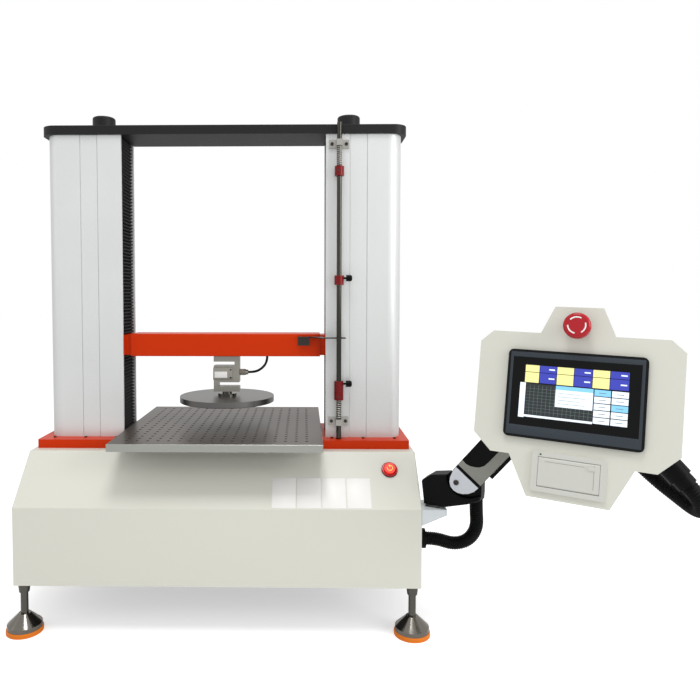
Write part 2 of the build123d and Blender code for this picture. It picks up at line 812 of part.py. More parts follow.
# Load cell: an S-shaped block with a slot from each side, and its cable gland
cell_middle = (cell_top + cell_low) / 2
slot_length = cell_width - cell_web
with BuildPart() as load_cell:
    with Locations((0, 0, cell_middle)):
        Box(cell_width, cell_depth, cell_height)
    fillet(load_cell.edges().filter_by(Axis.Y), 1)
    with Locations((-cell_web / 2, 0, cell_middle + cell_slot_height)):
        Box(slot_length, cell_depth, cell_slot, mode=Mode.SUBTRACT)
    with Locations((cell_web / 2, 0, cell_middle - cell_slot_height)):
        Box(slot_length, cell_depth, cell_slot, mode=Mode.SUBTRACT)
    with Locations((0, 0, cell_top)):
        Cylinder(stud_radius, stud_depth, align=high, mode=Mode.SUBTRACT)
    with Locations((0, 0, cell_low)):
        Cylinder(stud_radius, stud_depth, align=low, mode=Mode.SUBTRACT)
    with BuildSketch(Plane.YZ.offset(cell_width / 2 + hairline)):
        with Locations((0, cell_gland_height)):
            RegularPolygon(cell_gland_radius, 6)
    extrude(amount=cell_gland_length * 0.6)
    with BuildSketch(Plane.YZ.offset(cell_width / 2 + hairline)):
        with Locations((0, cell_gland_height)):
            Circle(cell_gland_radius * 0.7)
    extrude(amount=cell_gland_length)
load_cell.part.label = "load_cell"
export_step(load_cell.part, "parts/load_cell.step")

# Studs: one clamps the cell to the beam, the other carries the platen's hub
with BuildPart() as load_cell_studs:
    with Locations((0, 0, cell_top - stud_depth)):
        Cylinder(stud_radius, stud_depth + washer_height + sheet + beam_height * 0.7, align=low)
    with Locations((0, 0, cell_top)):
        Cylinder(washer_radius, washer_height, align=low)
    with Locations((0, 0, platen_top)):
        Cylinder(hub_radius, hub_height, align=low)
        Cylinder(hub_neck_radius, hub_height + hub_neck_height, align=low)
        Cylinder(stud_radius, hub_height + hub_neck_height + stud_depth, align=low)
        Cylinder(stud_radius, platen_thickness * 0.6, align=high)
load_cell_studs.part.label = "load_cell_studs"
export_step(load_cell_studs.part, "parts/load_cell_studs.step")

with BuildPart() as platen:
    with Locations((0, 0, platen_low)):
        Cylinder(platen_radius, platen_thickness, align=low)
    fillet(platen.edges().group_by(Axis.Z)[0], 1)
    with Locations((0, 0, platen_top)):
        Cylinder(stud_radius, platen_thickness * 0.6, align=high, mode=Mode.SUBTRACT)
platen.part.label = "platen"
export_step(platen.part, "parts/platen.step")

# Load table: a plate with rows of air holes and a folded rim
with BuildPart() as load_table:
    with Locations((0, 0, table_top)):
        Box(table_size, table_size, table_rim_height, align=high)
    chamfer(load_table.edges().group_by(Axis.Z)[-1], 0.6)
    with Locations((0, 0, table_plate_low)):
        table_room = table_size - 2 * table_rim
        Box(table_room, table_room, table_rim_height, align=high, mode=Mode.SUBTRACT)
    with BuildSketch(Plane.XY.offset(table_plate_low)):
        with GridLocations(table_hole_pitch, table_hole_pitch, table_hole_count, table_hole_count):
            Circle(table_hole_radius)
    extrude(amount=table_plate, mode=Mode.SUBTRACT)
load_table.part.label = "load_table"
export_step(load_table.part, "parts/load_table.step")

with BuildPart() as table_supports:
    with BuildSketch(Plane.XY.offset(base_plate_top)):
        with Locations((0, base_plate_middle)):
            with GridLocations(0, rail_spacing, 1, 2):
                Rectangle(rail_length, rail_width)
    extrude(amount=table_plate_low - base_plate_top)
table_supports.part.label = "table_supports"
export_step(table_supports.part, "parts/table_supports.step")

# Limit rod: slides in two brackets, centred by two springs, and works a switch in the base
with BuildPart() as limit_rod:
    with Locations((rod_x, rod_y, rod_low)):
        Cylinder(rod_radius, rod_top - rod_low, align=low)
    chamfer(limit_rod.edges().group_by(Axis.Z)[-1], 0.8)
limit_rod.part.label = "limit_rod"
export_step(limit_rod.part, "parts/limit_rod.step")

with BuildPart() as rod_brackets:
    for bracket_z in (upper_bracket_height, lower_bracket_height):
        with Locations((rod_x, column_front, bracket_z)):
            Box(
                bracket_flange_width,
                bracket_flange_thickness,
                bracket_flange_height,
                align=(Align.CENTER, Align.MAX, Align.CENTER),
            )
            Box(
                bracket_block,
                column_front - bracket_front,
                bracket_block,
                align=(Align.CENTER, Align.MAX, Align.CENTER),
            )
        with Locations((rod_x, rod_y, bracket_z)):
            Cylinder(rod_radius + running_fit, bracket_block, mode=Mode.SUBTRACT)
rod_brackets.part.label = "rod_brackets"
export_step(rod_brackets.part, "parts/rod_brackets.step")

with BuildPart() as rod_seat_collars:
    for collar_z in (upper_seat_height, lower_seat_bottom + collar_height / 2):
        with Locations((rod_x, rod_y, collar_z)):
            Cylinder(collar_radius, collar_height)
            Cylinder(rod_radius + hairline, collar_height, mode=Mode.SUBTRACT)
rod_seat_collars.part.label = "rod_seat_collars"
export_step(rod_seat_collars.part, "parts/rod_seat_collars.step")

# Each spring's solid is the sleeve that its coils fill
spring_spans = [
    (lower_bracket_height + bracket_block / 2, lower_seat_bottom),
    (upper_seat_height + collar_height / 2, upper_bracket_height - bracket_block / 2),
]
with BuildPart() as rod_springs:
    for spring_low, spring_high in spring_spans:
        with BuildSketch(Plane.XY.offset(spring_low + body_gap)):
            with Locations((rod_x, rod_y)):
                Circle(spring_radius)
                Circle(spring_radius - spring_wire, mode=Mode.SUBTRACT)
        extrude(amount=spring_high - spring_low - 2 * body_gap)
rod_springs.part.label = "rod_springs"
export_step(rod_springs.part, "parts/rod_springs.step")

# Stop collars and their thumb screws, which clamp them to the rod
upper_stop_bottom = upper_stop_height - collar_height / 2
with BuildPart() as upper_stop_collar:
    with Locations((rod_x, rod_y, upper_stop_bottom)):
        Cylinder(collar_radius, collar_height, align=low)
        Cylinder(rod_radius + running_fit, collar_height, align=low, mode=Mode.SUBTRACT)
    with BuildSketch(Plane.YZ.offset(rod_x)):
        with Locations((rod_y, upper_stop_bottom + collar_height / 2 + thumb_lift)):
            Circle(thumb_stem_radius + running_fit)
    extrude(amount=collar_radius, mode=Mode.SUBTRACT)
upper_stop_collar.part.label = "upper_stop_collar"
export_step(upper_stop_collar.part, "parts/upper_stop_collar.step")

stop_shift = lower_stop_bottom + body_gap - upper_stop_bottom
with BuildPart() as lower_stop_collar:
    add(upper_stop_collar.part.moved(Location((0, 0, stop_shift))))
lower_stop_collar.part.label = "lower_stop_collar"
export_step(lower_stop_collar.part, "parts/lower_stop_collar.step")

thumb_z = upper_stop_bottom + collar_height / 2 + thumb_lift
with BuildPart() as upper_thumb_screw:
    with BuildSketch(Plane.YZ.offset(rod_x + rod_radius + body_gap)):
        with Locations((rod_y, thumb_z)):
            Circle(thumb_stem_radius)
    extrude(amount=collar_radius - rod_radius - body_gap + thumb_stem_length)
    with BuildSketch(Plane.YZ.offset(rod_x + collar_radius + thumb_stem_length)):
        with Locations((rod_y, thumb_z)):
            Circle(thumb_knob_radius)
    extrude(amount=thumb_knob_length)
    fillet(upper_thumb_screw.edges().filter_by(GeomType.CIRCLE).group_by(Axis.X)[-1], 4)
upper_thumb_screw.part.label = "upper_thumb_screw"
export_step(upper_thumb_screw.part, "parts/upper_thumb_screw.step")

with BuildPart() as lower_thumb_screw:
    add(upper_thumb_screw.part.moved(Location((0, 0, stop_shift))))
lower_thumb_screw.part.label = "lower_thumb_screw"
export_step(lower_thumb_screw.part, "parts/lower_thumb_screw.step")

# Power switch: a flanged body in the slope, with a round cap that presses in
switch_plane = Plane(
    origin=slope_plane.from_local_coords((switch_x, switch_up_slope, 0)),
    x_dir=slope_plane.x_dir,
    z_dir=slope_plane.z_dir,
)
cap_floor = power_travel + switch_wall
with BuildPart() as power_switch_body:
    with BuildSketch(switch_plane):
        Circle(switch_flange_radius)
    extrude(amount=switch_flange)
    with BuildSketch(switch_plane):
        Circle(switch_barrel_radius)
    extrude(amount=-switch_barrel_length)
    with BuildSketch(switch_plane.offset(switch_flange)):
        Circle(power_cap_radius + body_gap)
    extrude(amount=-switch_flange, mode=Mode.SUBTRACT)
    with BuildSketch(switch_plane):
        Circle(power_cap_radius - 1)
    extrude(amount=-cap_floor, mode=Mode.SUBTRACT)
power_switch_body.part.label = "power_switch_body"
export_step(power_switch_body.part, "parts/power_switch_body.step")

with BuildPart() as power_button:
    with BuildSketch(switch_plane.offset(power_travel + body_gap)):
        Circle(power_cap_radius)
    extrude(amount=power_cap_proud - body_gap)
    with BuildSketch(switch_plane.offset(body_gap - switch_wall + power_travel)):
        Circle(power_cap_radius - 2)
    extrude(amount=switch_wall)
power_button.part.label = "power_button"
export_step(power_button.part, "parts/power_button.step")

# Shelf on the right wall: a folded tray whose end plates taper outwards
shelf_outline = [
    (base_width / 2, shelf_top - shelf_wall_drop),
    (base_width / 2, shelf_top),
    (base_width / 2 + shelf_width, shelf_top),
    (base_width / 2 + shelf_width, shelf_top - shelf_end_drop),
]
with BuildPart() as arm_shelf:
    with BuildSketch(Plane.XZ.offset(-shelf_front)):
        with BuildLine():
            Polyline(*shelf_outline, close=True)
        make_face()
    extrude(amount=-shelf_depth)
    with Locations((base_width / 2 + shelf_plate, shelf_front + shelf_plate, shelf_top - shelf_plate)):
        Box(
            shelf_width,
            shelf_depth - 2 * shelf_plate,
            shelf_wall_drop,
            align=(Align.MIN, Align.MIN, Align.MAX),
            mode=Mode.SUBTRACT,
        )
arm_shelf.part.label = "arm_shelf"
export_step(arm_shelf.part, "parts/arm_shelf.step")

knuckle_low = shelf_top + post_base_height + body_gap
knuckle_top = knuckle_low + knuckle_height
with BuildPart() as arm_post:
    with Locations((swivel_x, swivel_y, shelf_top)):
        Cylinder(post_base_radius, post_base_height, align=low)
        Cylinder(post_pin_radius, knuckle_top - knuckle_roof - body_gap - shelf_top, align=low)
arm_post.part.label = "arm_post"
export_step(arm_post.part, "parts/arm_post.step")

# Directions of the pendant: outward normal, then right and up along its face
turn, lean, roll = radians(pendant_turn), radians(pendant_lean), radians(pendant_roll)
facing = Vector(-sin(turn), -cos(turn), 0)
level = Vector(cos(turn), -sin(turn), 0)
normal = facing * cos(lean) + Vector(0, 0, sin(lean))
face_up = normal.cross(level)
right = level * cos(roll) - face_up * sin(roll)
pendant_face = Plane(origin=(pendant_x, pendant_y, pendant_z), x_dir=right, z_dir=normal)


def on_pendant(across, up, out):
    return pendant_face.from_local_coords(Vector(across, up, out))


# The tilt pin lies behind the pendant, and the head turns on a pin behind that
tilt_pin = on_pendant(0, -pendant_mount_down, -pendant_thickness - tilt_offset)
head_axis = tilt_pin - facing * head_reach
swivel_to_head = Vector(head_axis.X - swivel_x, head_axis.Y - swivel_y, 0)
arm_out = swivel_to_head.normalized()
arm_back = Vector(-arm_out.Y, arm_out.X, 0)
wrist_out = swivel_to_head.length - wrist_reach
link_run = wrist_out - pivot_reach
link_rise = wrist_pivot_height - pivot_height
link_length = hypot(link_run, link_rise)
arm_plane = Plane(origin=(swivel_x, swivel_y, 0), x_dir=arm_out, z_dir=-arm_back)
arm_pivot = arm_plane.from_local_coords(Vector(pivot_reach, pivot_height, 0))
wrist_pivot = arm_plane.from_local_coords(Vector(wrist_out, wrist_pivot_height, 0))
link_plane = Plane(origin=arm_pivot, x_dir=wrist_pivot - arm_pivot, z_dir=-arm_back)
gland_place = arm_plane.from_local_coords(Vector(pivot_reach + gland_past_pivot, 0, -gland_behind_arm))

# Knuckle: a barrel on the post, a tongue for the link, and an ear with the conduit's gland
knuckle_foot_z = knuckle_low + knuckle_corner
long_edge = lambda edge: abs(edge.tangent_at(0.5).dot(arm_back)) < 0.01
with BuildPart() as arm_knuckle:
    with BuildSketch(arm_plane):
        with Locations((-knuckle_back, knuckle_foot_z), (knuckle_foot_reach, knuckle_foot_z)):
            Circle(knuckle_corner)
        with Locations((-knuckle_back, knuckle_top - 16), (0, knuckle_top - knuckle_shoulder)):
            Circle(knuckle_shoulder)
        with Locations((knuckle_reach, knuckle_top + knuckle_crown - knuckle_tip)):
            Circle(knuckle_tip)
        with Locations((knuckle_nose_reach, pivot_height - knuckle_nose_drop)):
            Circle(knuckle_shoulder)
        with Locations((pivot_reach, pivot_height - chin_drop_below_pivot)):
            Circle(knuckle_tip)
        make_hull()
        with Locations((pivot_reach, pivot_height)):
            Circle(link_nose_room, mode=Mode.SUBTRACT)
    extrude(amount=knuckle_half_width, both=True)
    fillet(arm_knuckle.edges().filter_by(long_edge), knuckle_edge)
    with BuildSketch(arm_plane):
        with Locations((knuckle_reach, (knuckle_low + knuckle_top) / 2)):
            Circle(tongue_root_radius)
        with Locations((pivot_reach, pivot_height)):
            Circle(link_radius - 1)
        with Locations((knuckle_nose_reach - 1, pivot_height - tongue_nose_drop)):
            Circle(tongue_nose_radius)
        make_hull()
    extrude(amount=tongue_half_width, both=True)
    with Locations((swivel_x, swivel_y, knuckle_low)):
        Cylinder(knuckle_radius, knuckle_height - barrel_short, align=low)
    with BuildSketch(Plane.XY.offset(gland_plate_low)):
        with Locations((swivel_x, swivel_y)):
            Circle(knuckle_radius - 4)
        with Locations((gland_place.X, gland_place.Y)):
            Circle(gland_radius - 1)
        make_hull()
    extrude(amount=gland_plate)
    with Locations((gland_place.X, gland_place.Y, gland_low)):
        Cylinder(gland_radius, gland_height, align=low)
    with Locations((swivel_x, swivel_y, knuckle_low)):
        Cylinder(post_pin_radius + running_fit, knuckle_height - knuckle_roof, align=low, mode=Mode.SUBTRACT)
    with BuildSketch(arm_plane):
        with Locations((pivot_reach, pivot_height)):
            Circle(pivot_pin_radius + running_fit)
    extrude(amount=tongue_half_width + 1, both=True, mode=Mode.SUBTRACT)
arm_knuckle.part.label = "arm_knuckle"
export_step(arm_knuckle.part, "parts/arm_knuckle.step")

# Spring link: a hollow beam with a pin at each end, its gas spring and its underside strip
slot_half = tongue_half_width + side_play
spring_room = link_length - 2 * (link_end_clearance + link_bulkhead)
gas_spring_root = link_plane.from_local_coords(Vector(link_end_clearance + link_bulkhead + hairline, 0, 0))
gas_spring_plane = Plane(origin=gas_spring_root, x_dir=-arm_back, z_dir=link_plane.x_dir)
with BuildPart() as arm_link:
    with BuildSketch(link_plane):
        with Locations((link_length / 2, 0)):
            SlotCenterToCenter(link_length, 2 * link_radius)
        with Locations((-link_nose, 3)):
            Circle(link_nose_radius)
        make_hull()
    extrude(amount=link_half_width, both=True)
    fillet(arm_link.edges().filter_by(Axis(arm_pivot, link_plane.x_dir)), 3)
    with BuildSketch(link_plane):
        with Locations((0, 0), (link_length, 0)):
            Circle(link_end_clearance)
        with Locations((link_length / 2, 0)):
            Rectangle(spring_room, 2 * (link_radius - link_wall))
    extrude(amount=slot_half, both=True, mode=Mode.SUBTRACT)
    with BuildSketch(link_plane):
        with Locations((0, 0), (link_length, 0)):
            Circle(pivot_pin_radius)
    extrude(amount=link_half_width, both=True)
    with BuildSketch(link_plane):
        with Locations((link_length / 2, -link_radius - hairline - link_strip / 2)):
            Rectangle(link_length - 2 * (link_end_clearance - link_bulkhead), link_strip)
    extrude(amount=link_half_width, both=True)
    with BuildSketch(gas_spring_plane):
        Circle(gas_spring_radius)
    extrude(amount=spring_room - 2 * hairline)
arm_link.part.label = "arm_link"
export_step(arm_link.part, "parts/arm_link.step")

# Wrist: stays level at the link's end and holds the pin that the head turns on
with BuildPart() as arm_wrist:
    with BuildSketch(arm_plane):
        with Locations((wrist_out, wrist_pivot_height)):
            Circle(wrist_root_radius)
        with Locations((wrist_out + wrist_reach, (wrist_post_low + wrist_post_top) / 2)):
            Circle(wrist_nose_radius)
        make_hull()
    extrude(amount=tongue_half_width, both=True)
    with Locations((head_axis.X, head_axis.Y, wrist_post_low)):
        Cylinder(head_pocket_radius, wrist_post_low - head_low, align=high, mode=Mode.SUBTRACT)
        Cylinder(wrist_post_radius, wrist_post_top - wrist_post_low, align=low)
        Cylinder(wrist_pin_radius, wrist_post_low - head_low, align=high)
    with BuildSketch(arm_plane):
        with Locations((wrist_out, wrist_pivot_height)):
            Circle(pivot_pin_radius + running_fit)
    extrude(amount=tongue_half_width + 1, both=True, mode=Mode.SUBTRACT)
arm_wrist.part.label = "arm_wrist"
export_step(arm_wrist.part, "parts/arm_wrist.step")

# Head: turns on the wrist's pin, holds the tilt pin, and carries the upper conduit's gland
head_plane = Plane(origin=(head_axis.X, head_axis.Y, 0), x_dir=facing, z_dir=-level)
upper_hose_start = head_axis + Vector(*upper_hose_start_at)
upper_hose_next = head_axis + Vector(*upper_hose_from_head[0])
gland_direction = (upper_hose_next - upper_hose_start).normalized()
with BuildPart() as arm_head:
    with BuildSketch(head_plane):
        with Locations((0, (head_low + wrist_post_low) / 2)):
            Rectangle(2 * tilt_ear_radius, wrist_post_low - head_low - 2 * side_play)
        with Locations((head_reach, tilt_pin.Z)):
            Circle(tilt_ear_radius)
        make_hull()
    extrude(amount=head_tongue_half_width, both=True)
    with Locations((head_axis.X, head_axis.Y, head_low)):
        Cylinder(head_radius, wrist_post_low - head_low - body_gap, align=low)
    with BuildSketch(Plane(origin=upper_hose_start, z_dir=-gland_direction)):
        Circle(gland_radius)
    extrude(amount=head_gland_length)
    with Locations((head_axis.X, head_axis.Y, head_low)):
        Cylinder(wrist_pin_radius + running_fit, wrist_post_low - head_low, align=low, mode=Mode.SUBTRACT)
    with BuildSketch(head_plane):
        with Locations((head_reach, tilt_pin.Z)):
            Circle(tilt_pin_radius + running_fit)
    extrude(amount=head_tongue_half_width + 1, both=True, mode=Mode.SUBTRACT)
arm_head.part.label = "arm_head"
export_step(arm_head.part, "parts/arm_head.step")

# Pendant: a shallow sheet box with a crown for the emergency stop and a chin for the printer
half_outline = [
    (crown_half_top, crown_rise),
    (crown_half_foot, -shoulder_drop),
    (shoulder_half, -shoulder_drop),
    (side_half, -side_top_drop),
    (side_half, -side_foot_drop),
    (skirt_half, -skirt_drop),
    (notch_half, -skirt_drop),
    (chin_half, -chin_drop),
]
pendant_outline = half_outline + [(-across, up) for across, up in reversed(half_outline)]
panel_middle = (0, -panel_top_drop - panel_height / 2)
printer_middle = (0, -printer_top_drop - printer_height / 2)

with BuildPart() as pendant_front:
    with BuildSketch(pendant_face):
        with BuildLine():
            Polyline(*pendant_outline, close=True)
        make_face()
    extrude(amount=sheet - pendant_thickness)
    with BuildSketch(pendant_face.offset(-sheet)):
        with BuildLine():
            Polyline(*pendant_outline, close=True)
        make_face()
        offset(amount=-sheet, kind=Kind.INTERSECTION, mode=Mode.REPLACE)
    extrude(amount=-pendant_thickness, mode=Mode.SUBTRACT)
    with BuildSketch(pendant_face):
        with Locations(panel_middle):
            Rectangle(panel_width - 2 * panel_lip, panel_height - 2 * panel_lip)
        with Locations(printer_middle):
            Rectangle(printer_width - 2 * printer_lip, printer_height - 2 * printer_lip)
        Circle(stop_barrel_radius)
    extrude(amount=-sheet, mode=Mode.SUBTRACT)
pendant_front.part.label = "pendant_front"
export_step(pendant_front.part, "parts/pendant_front.step")

# Back plate with the two ears and the pin that it tilts on
ear_root = tilt_offset + sheet / 2
ear_low = Vector(
    head_reach + ear_root * cos(lean) + 1.6 * tilt_ear_radius * sin(lean),
    tilt_pin.Z + ear_root * sin(lean) - 1.6 * tilt_ear_radius * cos(lean),
)
ear_high = Vector(
    head_reach + ear_root * cos(lean) - 1.6 * tilt_ear_radius * sin(lean),
    tilt_pin.Z + ear_root * sin(lean) + 1.6 * tilt_ear_radius * cos(lean),
)
ear_inner = head_tongue_half_width + side_play
ear_outer = ear_inner + tilt_ear_thickness
with BuildPart() as pendant_back:
    with BuildSketch(pendant_face.offset(sheet - pendant_thickness)):
        with BuildLine():
            Polyline(*pendant_outline, close=True)
        make_face()
    extrude(amount=-sheet)
    for side in (-ear_outer, ear_inner):
        with BuildSketch(head_plane.offset(side)):
            with Locations((head_reach, tilt_pin.Z)):
                Circle(tilt_ear_radius)
            with BuildLine():
                Line((ear_low.X, ear_low.Y), (ear_high.X, ear_high.Y))
            make_hull()
        extrude(amount=tilt_ear_thickness)
    with BuildSketch(head_plane):
        with Locations((head_reach, tilt_pin.Z)):
            Circle(tilt_pin_radius)
    extrude(amount=ear_outer, both=True)
pendant_back.part.label = "pendant_back"
export_step(pendant_back.part, "parts/pendant_back.step")

# Touch panel: a bezel with its housing behind the sheet, and the glass in its recess
glass_middle = (0, -glass_top_drop - glass_height / 2)
with BuildPart() as hmi_bezel:
    with BuildSketch(pendant_face):
        with Locations(panel_middle):
            RectangleRounded(panel_width, panel_height, 8)
    extrude(amount=panel_proud)
    with BuildSketch(pendant_face):
        with Locations(panel_middle):
            Rectangle(panel_width - 2 * panel_lip, panel_height - 2 * panel_lip)
    extrude(amount=-panel_depth)
    with BuildSketch(pendant_face.offset(panel_proud)):
        with Locations(glass_middle):
            Rectangle(glass_width, glass_height)
    extrude(amount=-glass_thickness, mode=Mode.SUBTRACT)
hmi_bezel.part.label = "hmi_bezel"
export_step(hmi_bezel.part, "parts/hmi_bezel.step")

with BuildPart() as hmi_screen:
    with BuildSketch(pendant_face.offset(panel_proud)):
        with Locations(glass_middle):
            Rectangle(glass_width, glass_height)
    extrude(amount=-glass_thickness)
hmi_screen.part.label = "hmi_screen"
export_step(hmi_screen.part, "parts/hmi_screen.step")

# Panel printer: a frame with a hinged door
door_middle = (0, printer_middle[1])
with BuildPart() as printer_body:
    with BuildSketch(pendant_face):
        with Locations(printer_middle):
            RectangleRounded(printer_width, printer_height, 4)
    extrude(amount=printer_proud)
    with BuildSketch(pendant_face):
        with Locations(printer_middle):
            Rectangle(printer_width - 2 * printer_lip, printer_height - 2 * printer_lip)
    extrude(amount=-printer_depth)
    with BuildSketch(pendant_face.offset(printer_proud)):
        with Locations(door_middle):
            Rectangle(door_width, door_height)
    extrude(amount=door_floor - printer_proud, mode=Mode.SUBTRACT)
    with BuildSketch(pendant_face):
        with Locations(door_middle):
            Rectangle(door_width - 24, door_height - 14)
    extrude(amount=-printer_depth * 0.8, mode=Mode.SUBTRACT)
printer_body.part.label = "printer_body"
export_step(printer_body.part, "parts/printer_body.step")

door_low = door_middle[1] - door_height / 2 + door_play
door_axis_z = door_floor + body_gap + door_thickness / 2
door_profile = Plane(
    origin=on_pendant(door_play - door_width / 2, door_low + door_thickness / 2, door_axis_z),
    x_dir=pendant_face.y_dir,
    z_dir=pendant_face.x_dir,
)
with BuildPart() as printer_door:
    with BuildSketch(door_profile):
        with Locations(((door_height - 2 * door_play) / 2 - door_thickness / 2, 0)):
            SlotOverall(door_height - 2 * door_play, door_thickness)
    extrude(amount=door_width - 2 * door_play)
    with BuildSketch(pendant_face.offset(door_floor + body_gap + door_thickness / 2)):
        with Locations((door_width * 0.36, door_middle[1] + door_height * 0.33)):
            RectangleRounded(latch_width, latch_height, 1)
    extrude(amount=door_thickness / 2 + 1.2)
printer_door.part.label = "printer_door"
export_step(printer_door.part, "parts/printer_door.step")

# Emergency stop: a body through the crown with a mushroom head that presses in
neck_floor = stop_head_low - stop_barrel_length / 2
with BuildPart() as estop_body:
    with BuildSketch(pendant_face):
        Circle(stop_collar_radius)
    extrude(amount=stop_collar_height)
    with BuildSketch(pendant_face):
        Circle(stop_barrel_radius)
    extrude(amount=-stop_barrel_length)
    with BuildSketch(pendant_face.offset(stop_collar_height)):
        Circle(stop_neck_radius + running_fit)
    extrude(amount=-stop_collar_height - stop_travel - 12, mode=Mode.SUBTRACT)
estop_body.part.label = "estop_body"
export_step(estop_body.part, "parts/estop_body.step")

with BuildPart() as estop_button:
    with BuildSketch(pendant_face.offset(stop_head_low)):
        Circle(stop_head_radius)
    extrude(amount=stop_head_height)
    head_rim = estop_button.edges().filter_by(GeomType.CIRCLE).sort_by(Axis(on_pendant(0, 0, 0), normal))[-1]
    fillet(head_rim, 5)
    with BuildSketch(pendant_face.offset(stop_head_low)):
        Circle(stop_neck_radius)
    extrude(amount=-stop_head_low - 11)
estop_button.part.label = "estop_button"
export_step(estop_button.part, "parts/estop_button.step")

# Conduit fittings: a flange on the base's wall and a connector on the pendant's skirt
with BuildPart() as hose_flange:
    with BuildSketch(side_plane):
        with Locations((hose_exit_y, hose_exit_z)):
            Circle(hose_flange_radius)
    extrude(amount=hose_flange_length)
hose_flange.part.label = "hose_flange"
export_step(hose_flange.part, "parts/hose_flange.step")

skirt_across = side_half - skirt_half
skirt_down = skirt_drop - side_foot_drop
skirt_length = hypot(skirt_across, skirt_down)
connector_out = right * (skirt_down / skirt_length) + pendant_face.y_dir * (-skirt_across / skirt_length)
connector_root = on_pendant(
    (side_half + skirt_half) / 2, -(side_foot_drop + skirt_drop) / 2, -pendant_thickness / 2
)
connector_plane = Plane(origin=connector_root, x_dir=normal, z_dir=connector_out)
with BuildPart() as hose_connector:
    with BuildSketch(connector_plane):
        Circle(connector_radius)
    extrude(amount=connector_nut)
    with BuildSketch(connector_plane.offset(connector_nut)):
        Circle(connector_neck_radius)
    extrude(amount=connector_length - connector_nut)
hose_connector.part.label = "hose_connector"
export_step(hose_connector.part, "parts/hose_connector.step")


# Cords: straight runs joined by arcs, each as large as its two runs allow
def bend_radii(points):
    runs = [b - a for a, b in zip(points, points[1:])]
    turns = [radians(a.get_angle(b)) for a, b in zip(runs, runs[1:])]
    return [
        bend_share * min(a.length, b.length) / tan(turn / 2)
        for a, b, turn in zip(runs, runs[1:], turns)
    ]


lower_hose_start = Vector(base_width / 2 + hose_flange_length, hose_exit_y, hose_exit_z)
lower_hose_points = [
    lower_hose_start,
    *[lower_hose_start + Vector(*step) for step in lower_hose_from_wall],
    Vector(gland_place.X, gland_place.Y, gland_low - lower_hose_last_run),
    Vector(gland_place.X, gland_place.Y, gland_low),
]
connector_end = connector_plane.from_local_coords(Vector(0, 0, connector_length))
upper_hose_points = [
    upper_hose_start,
    *[head_axis + Vector(*step) for step in upper_hose_from_head],
    *[connector_end + Vector(*step) for step in upper_hose_from_connector],
    connector_plane.from_local_coords(Vector(0, 0, connector_length + upper_hose_last_run)),
    connector_end,
]
cable_start = Vector(cell_width / 2 + cell_gland_length + hairline, 0, cell_gland_height)
cable_points = [
    cable_start,
    *[cable_start + Vector(*step) for step in cable_from_gland],
    Vector(cable_entry_x, 0, cover_low - cable_last_run),
    Vector(cable_entry_x, 0, cover_low),
]

with BuildPart() as hose_lower:
    with BuildLine() as lower_route:
        FilletPolyline(*lower_hose_points, radius=bend_radii(lower_hose_points))
    with BuildSketch(Plane(origin=lower_route.line @ 0, z_dir=lower_route.line % 0)):
        Circle(hose_radius)
    sweep()
hose_lower.part.label = "hose_lower"
export_step(hose_lower.part, "parts/hose_lower.step")

with BuildPart() as hose_upper:
    with BuildLine() as upper_route:
        FilletPolyline(*upper_hose_points, radius=bend_radii(upper_hose_points))
    with BuildSketch(Plane(origin=upper_route.line @ 0, z_dir=upper_route.line % 0)):
        Circle(hose_radius)
    sweep()
hose_upper.part.label = "hose_upper"
export_step(hose_upper.part, "parts/hose_upper.step")

with BuildPart() as load_cell_cable:
    with BuildLine() as cable_route:
        FilletPolyline(*cable_points, radius=bend_radii(cable_points))
    with BuildSketch(Plane(origin=cable_route.line @ 0, z_dir=cable_route.line % 0)):
        Circle(cable_radius)
    sweep()
load_cell_cable.part.label = "load_cell_cable"
export_step(load_cell_cable.part, "parts/load_cell_cable.step")

print("arm pivot", arm_pivot, "wrist pivot", wrist_pivot, "link", link_length)
print("head axis", head_axis, "tilt pin", tilt_pin)
print("arm out", arm_out, "link angle", degrees(atan2(link_rise, link_run)))
print("pendant right", right, "up", pendant_face.y_dir, "normal", normal)
print("connector", connector_root, "out", connector_out, "gland", gland_place)
print("slope normal", slope_plane.z_dir, "switch", switch_plane.origin)
print("door axis", door_profile.origin)
for route, tube, points, radius in (
    (lower_route, hose_lower, lower_hose_points, hose_radius),
    (upper_route, hose_upper, upper_hose_points, hose_radius),
    (cable_route, load_cell_cable, cable_points, cable_radius),
):
    length = sum(edge.length for edge in route.edges())
    share = tube.part.volume / (3.14159265 * radius**2 * length)
    radii = [round(r, 1) for r in bend_radii(points)]
    print(tube.part.label, "length", round(length, 1), "volume share", round(share, 4), "bend radii", radii)
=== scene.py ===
import json
from math import cos, pi, radians, sin

import bpy
from mathutils import Matrix, Vector


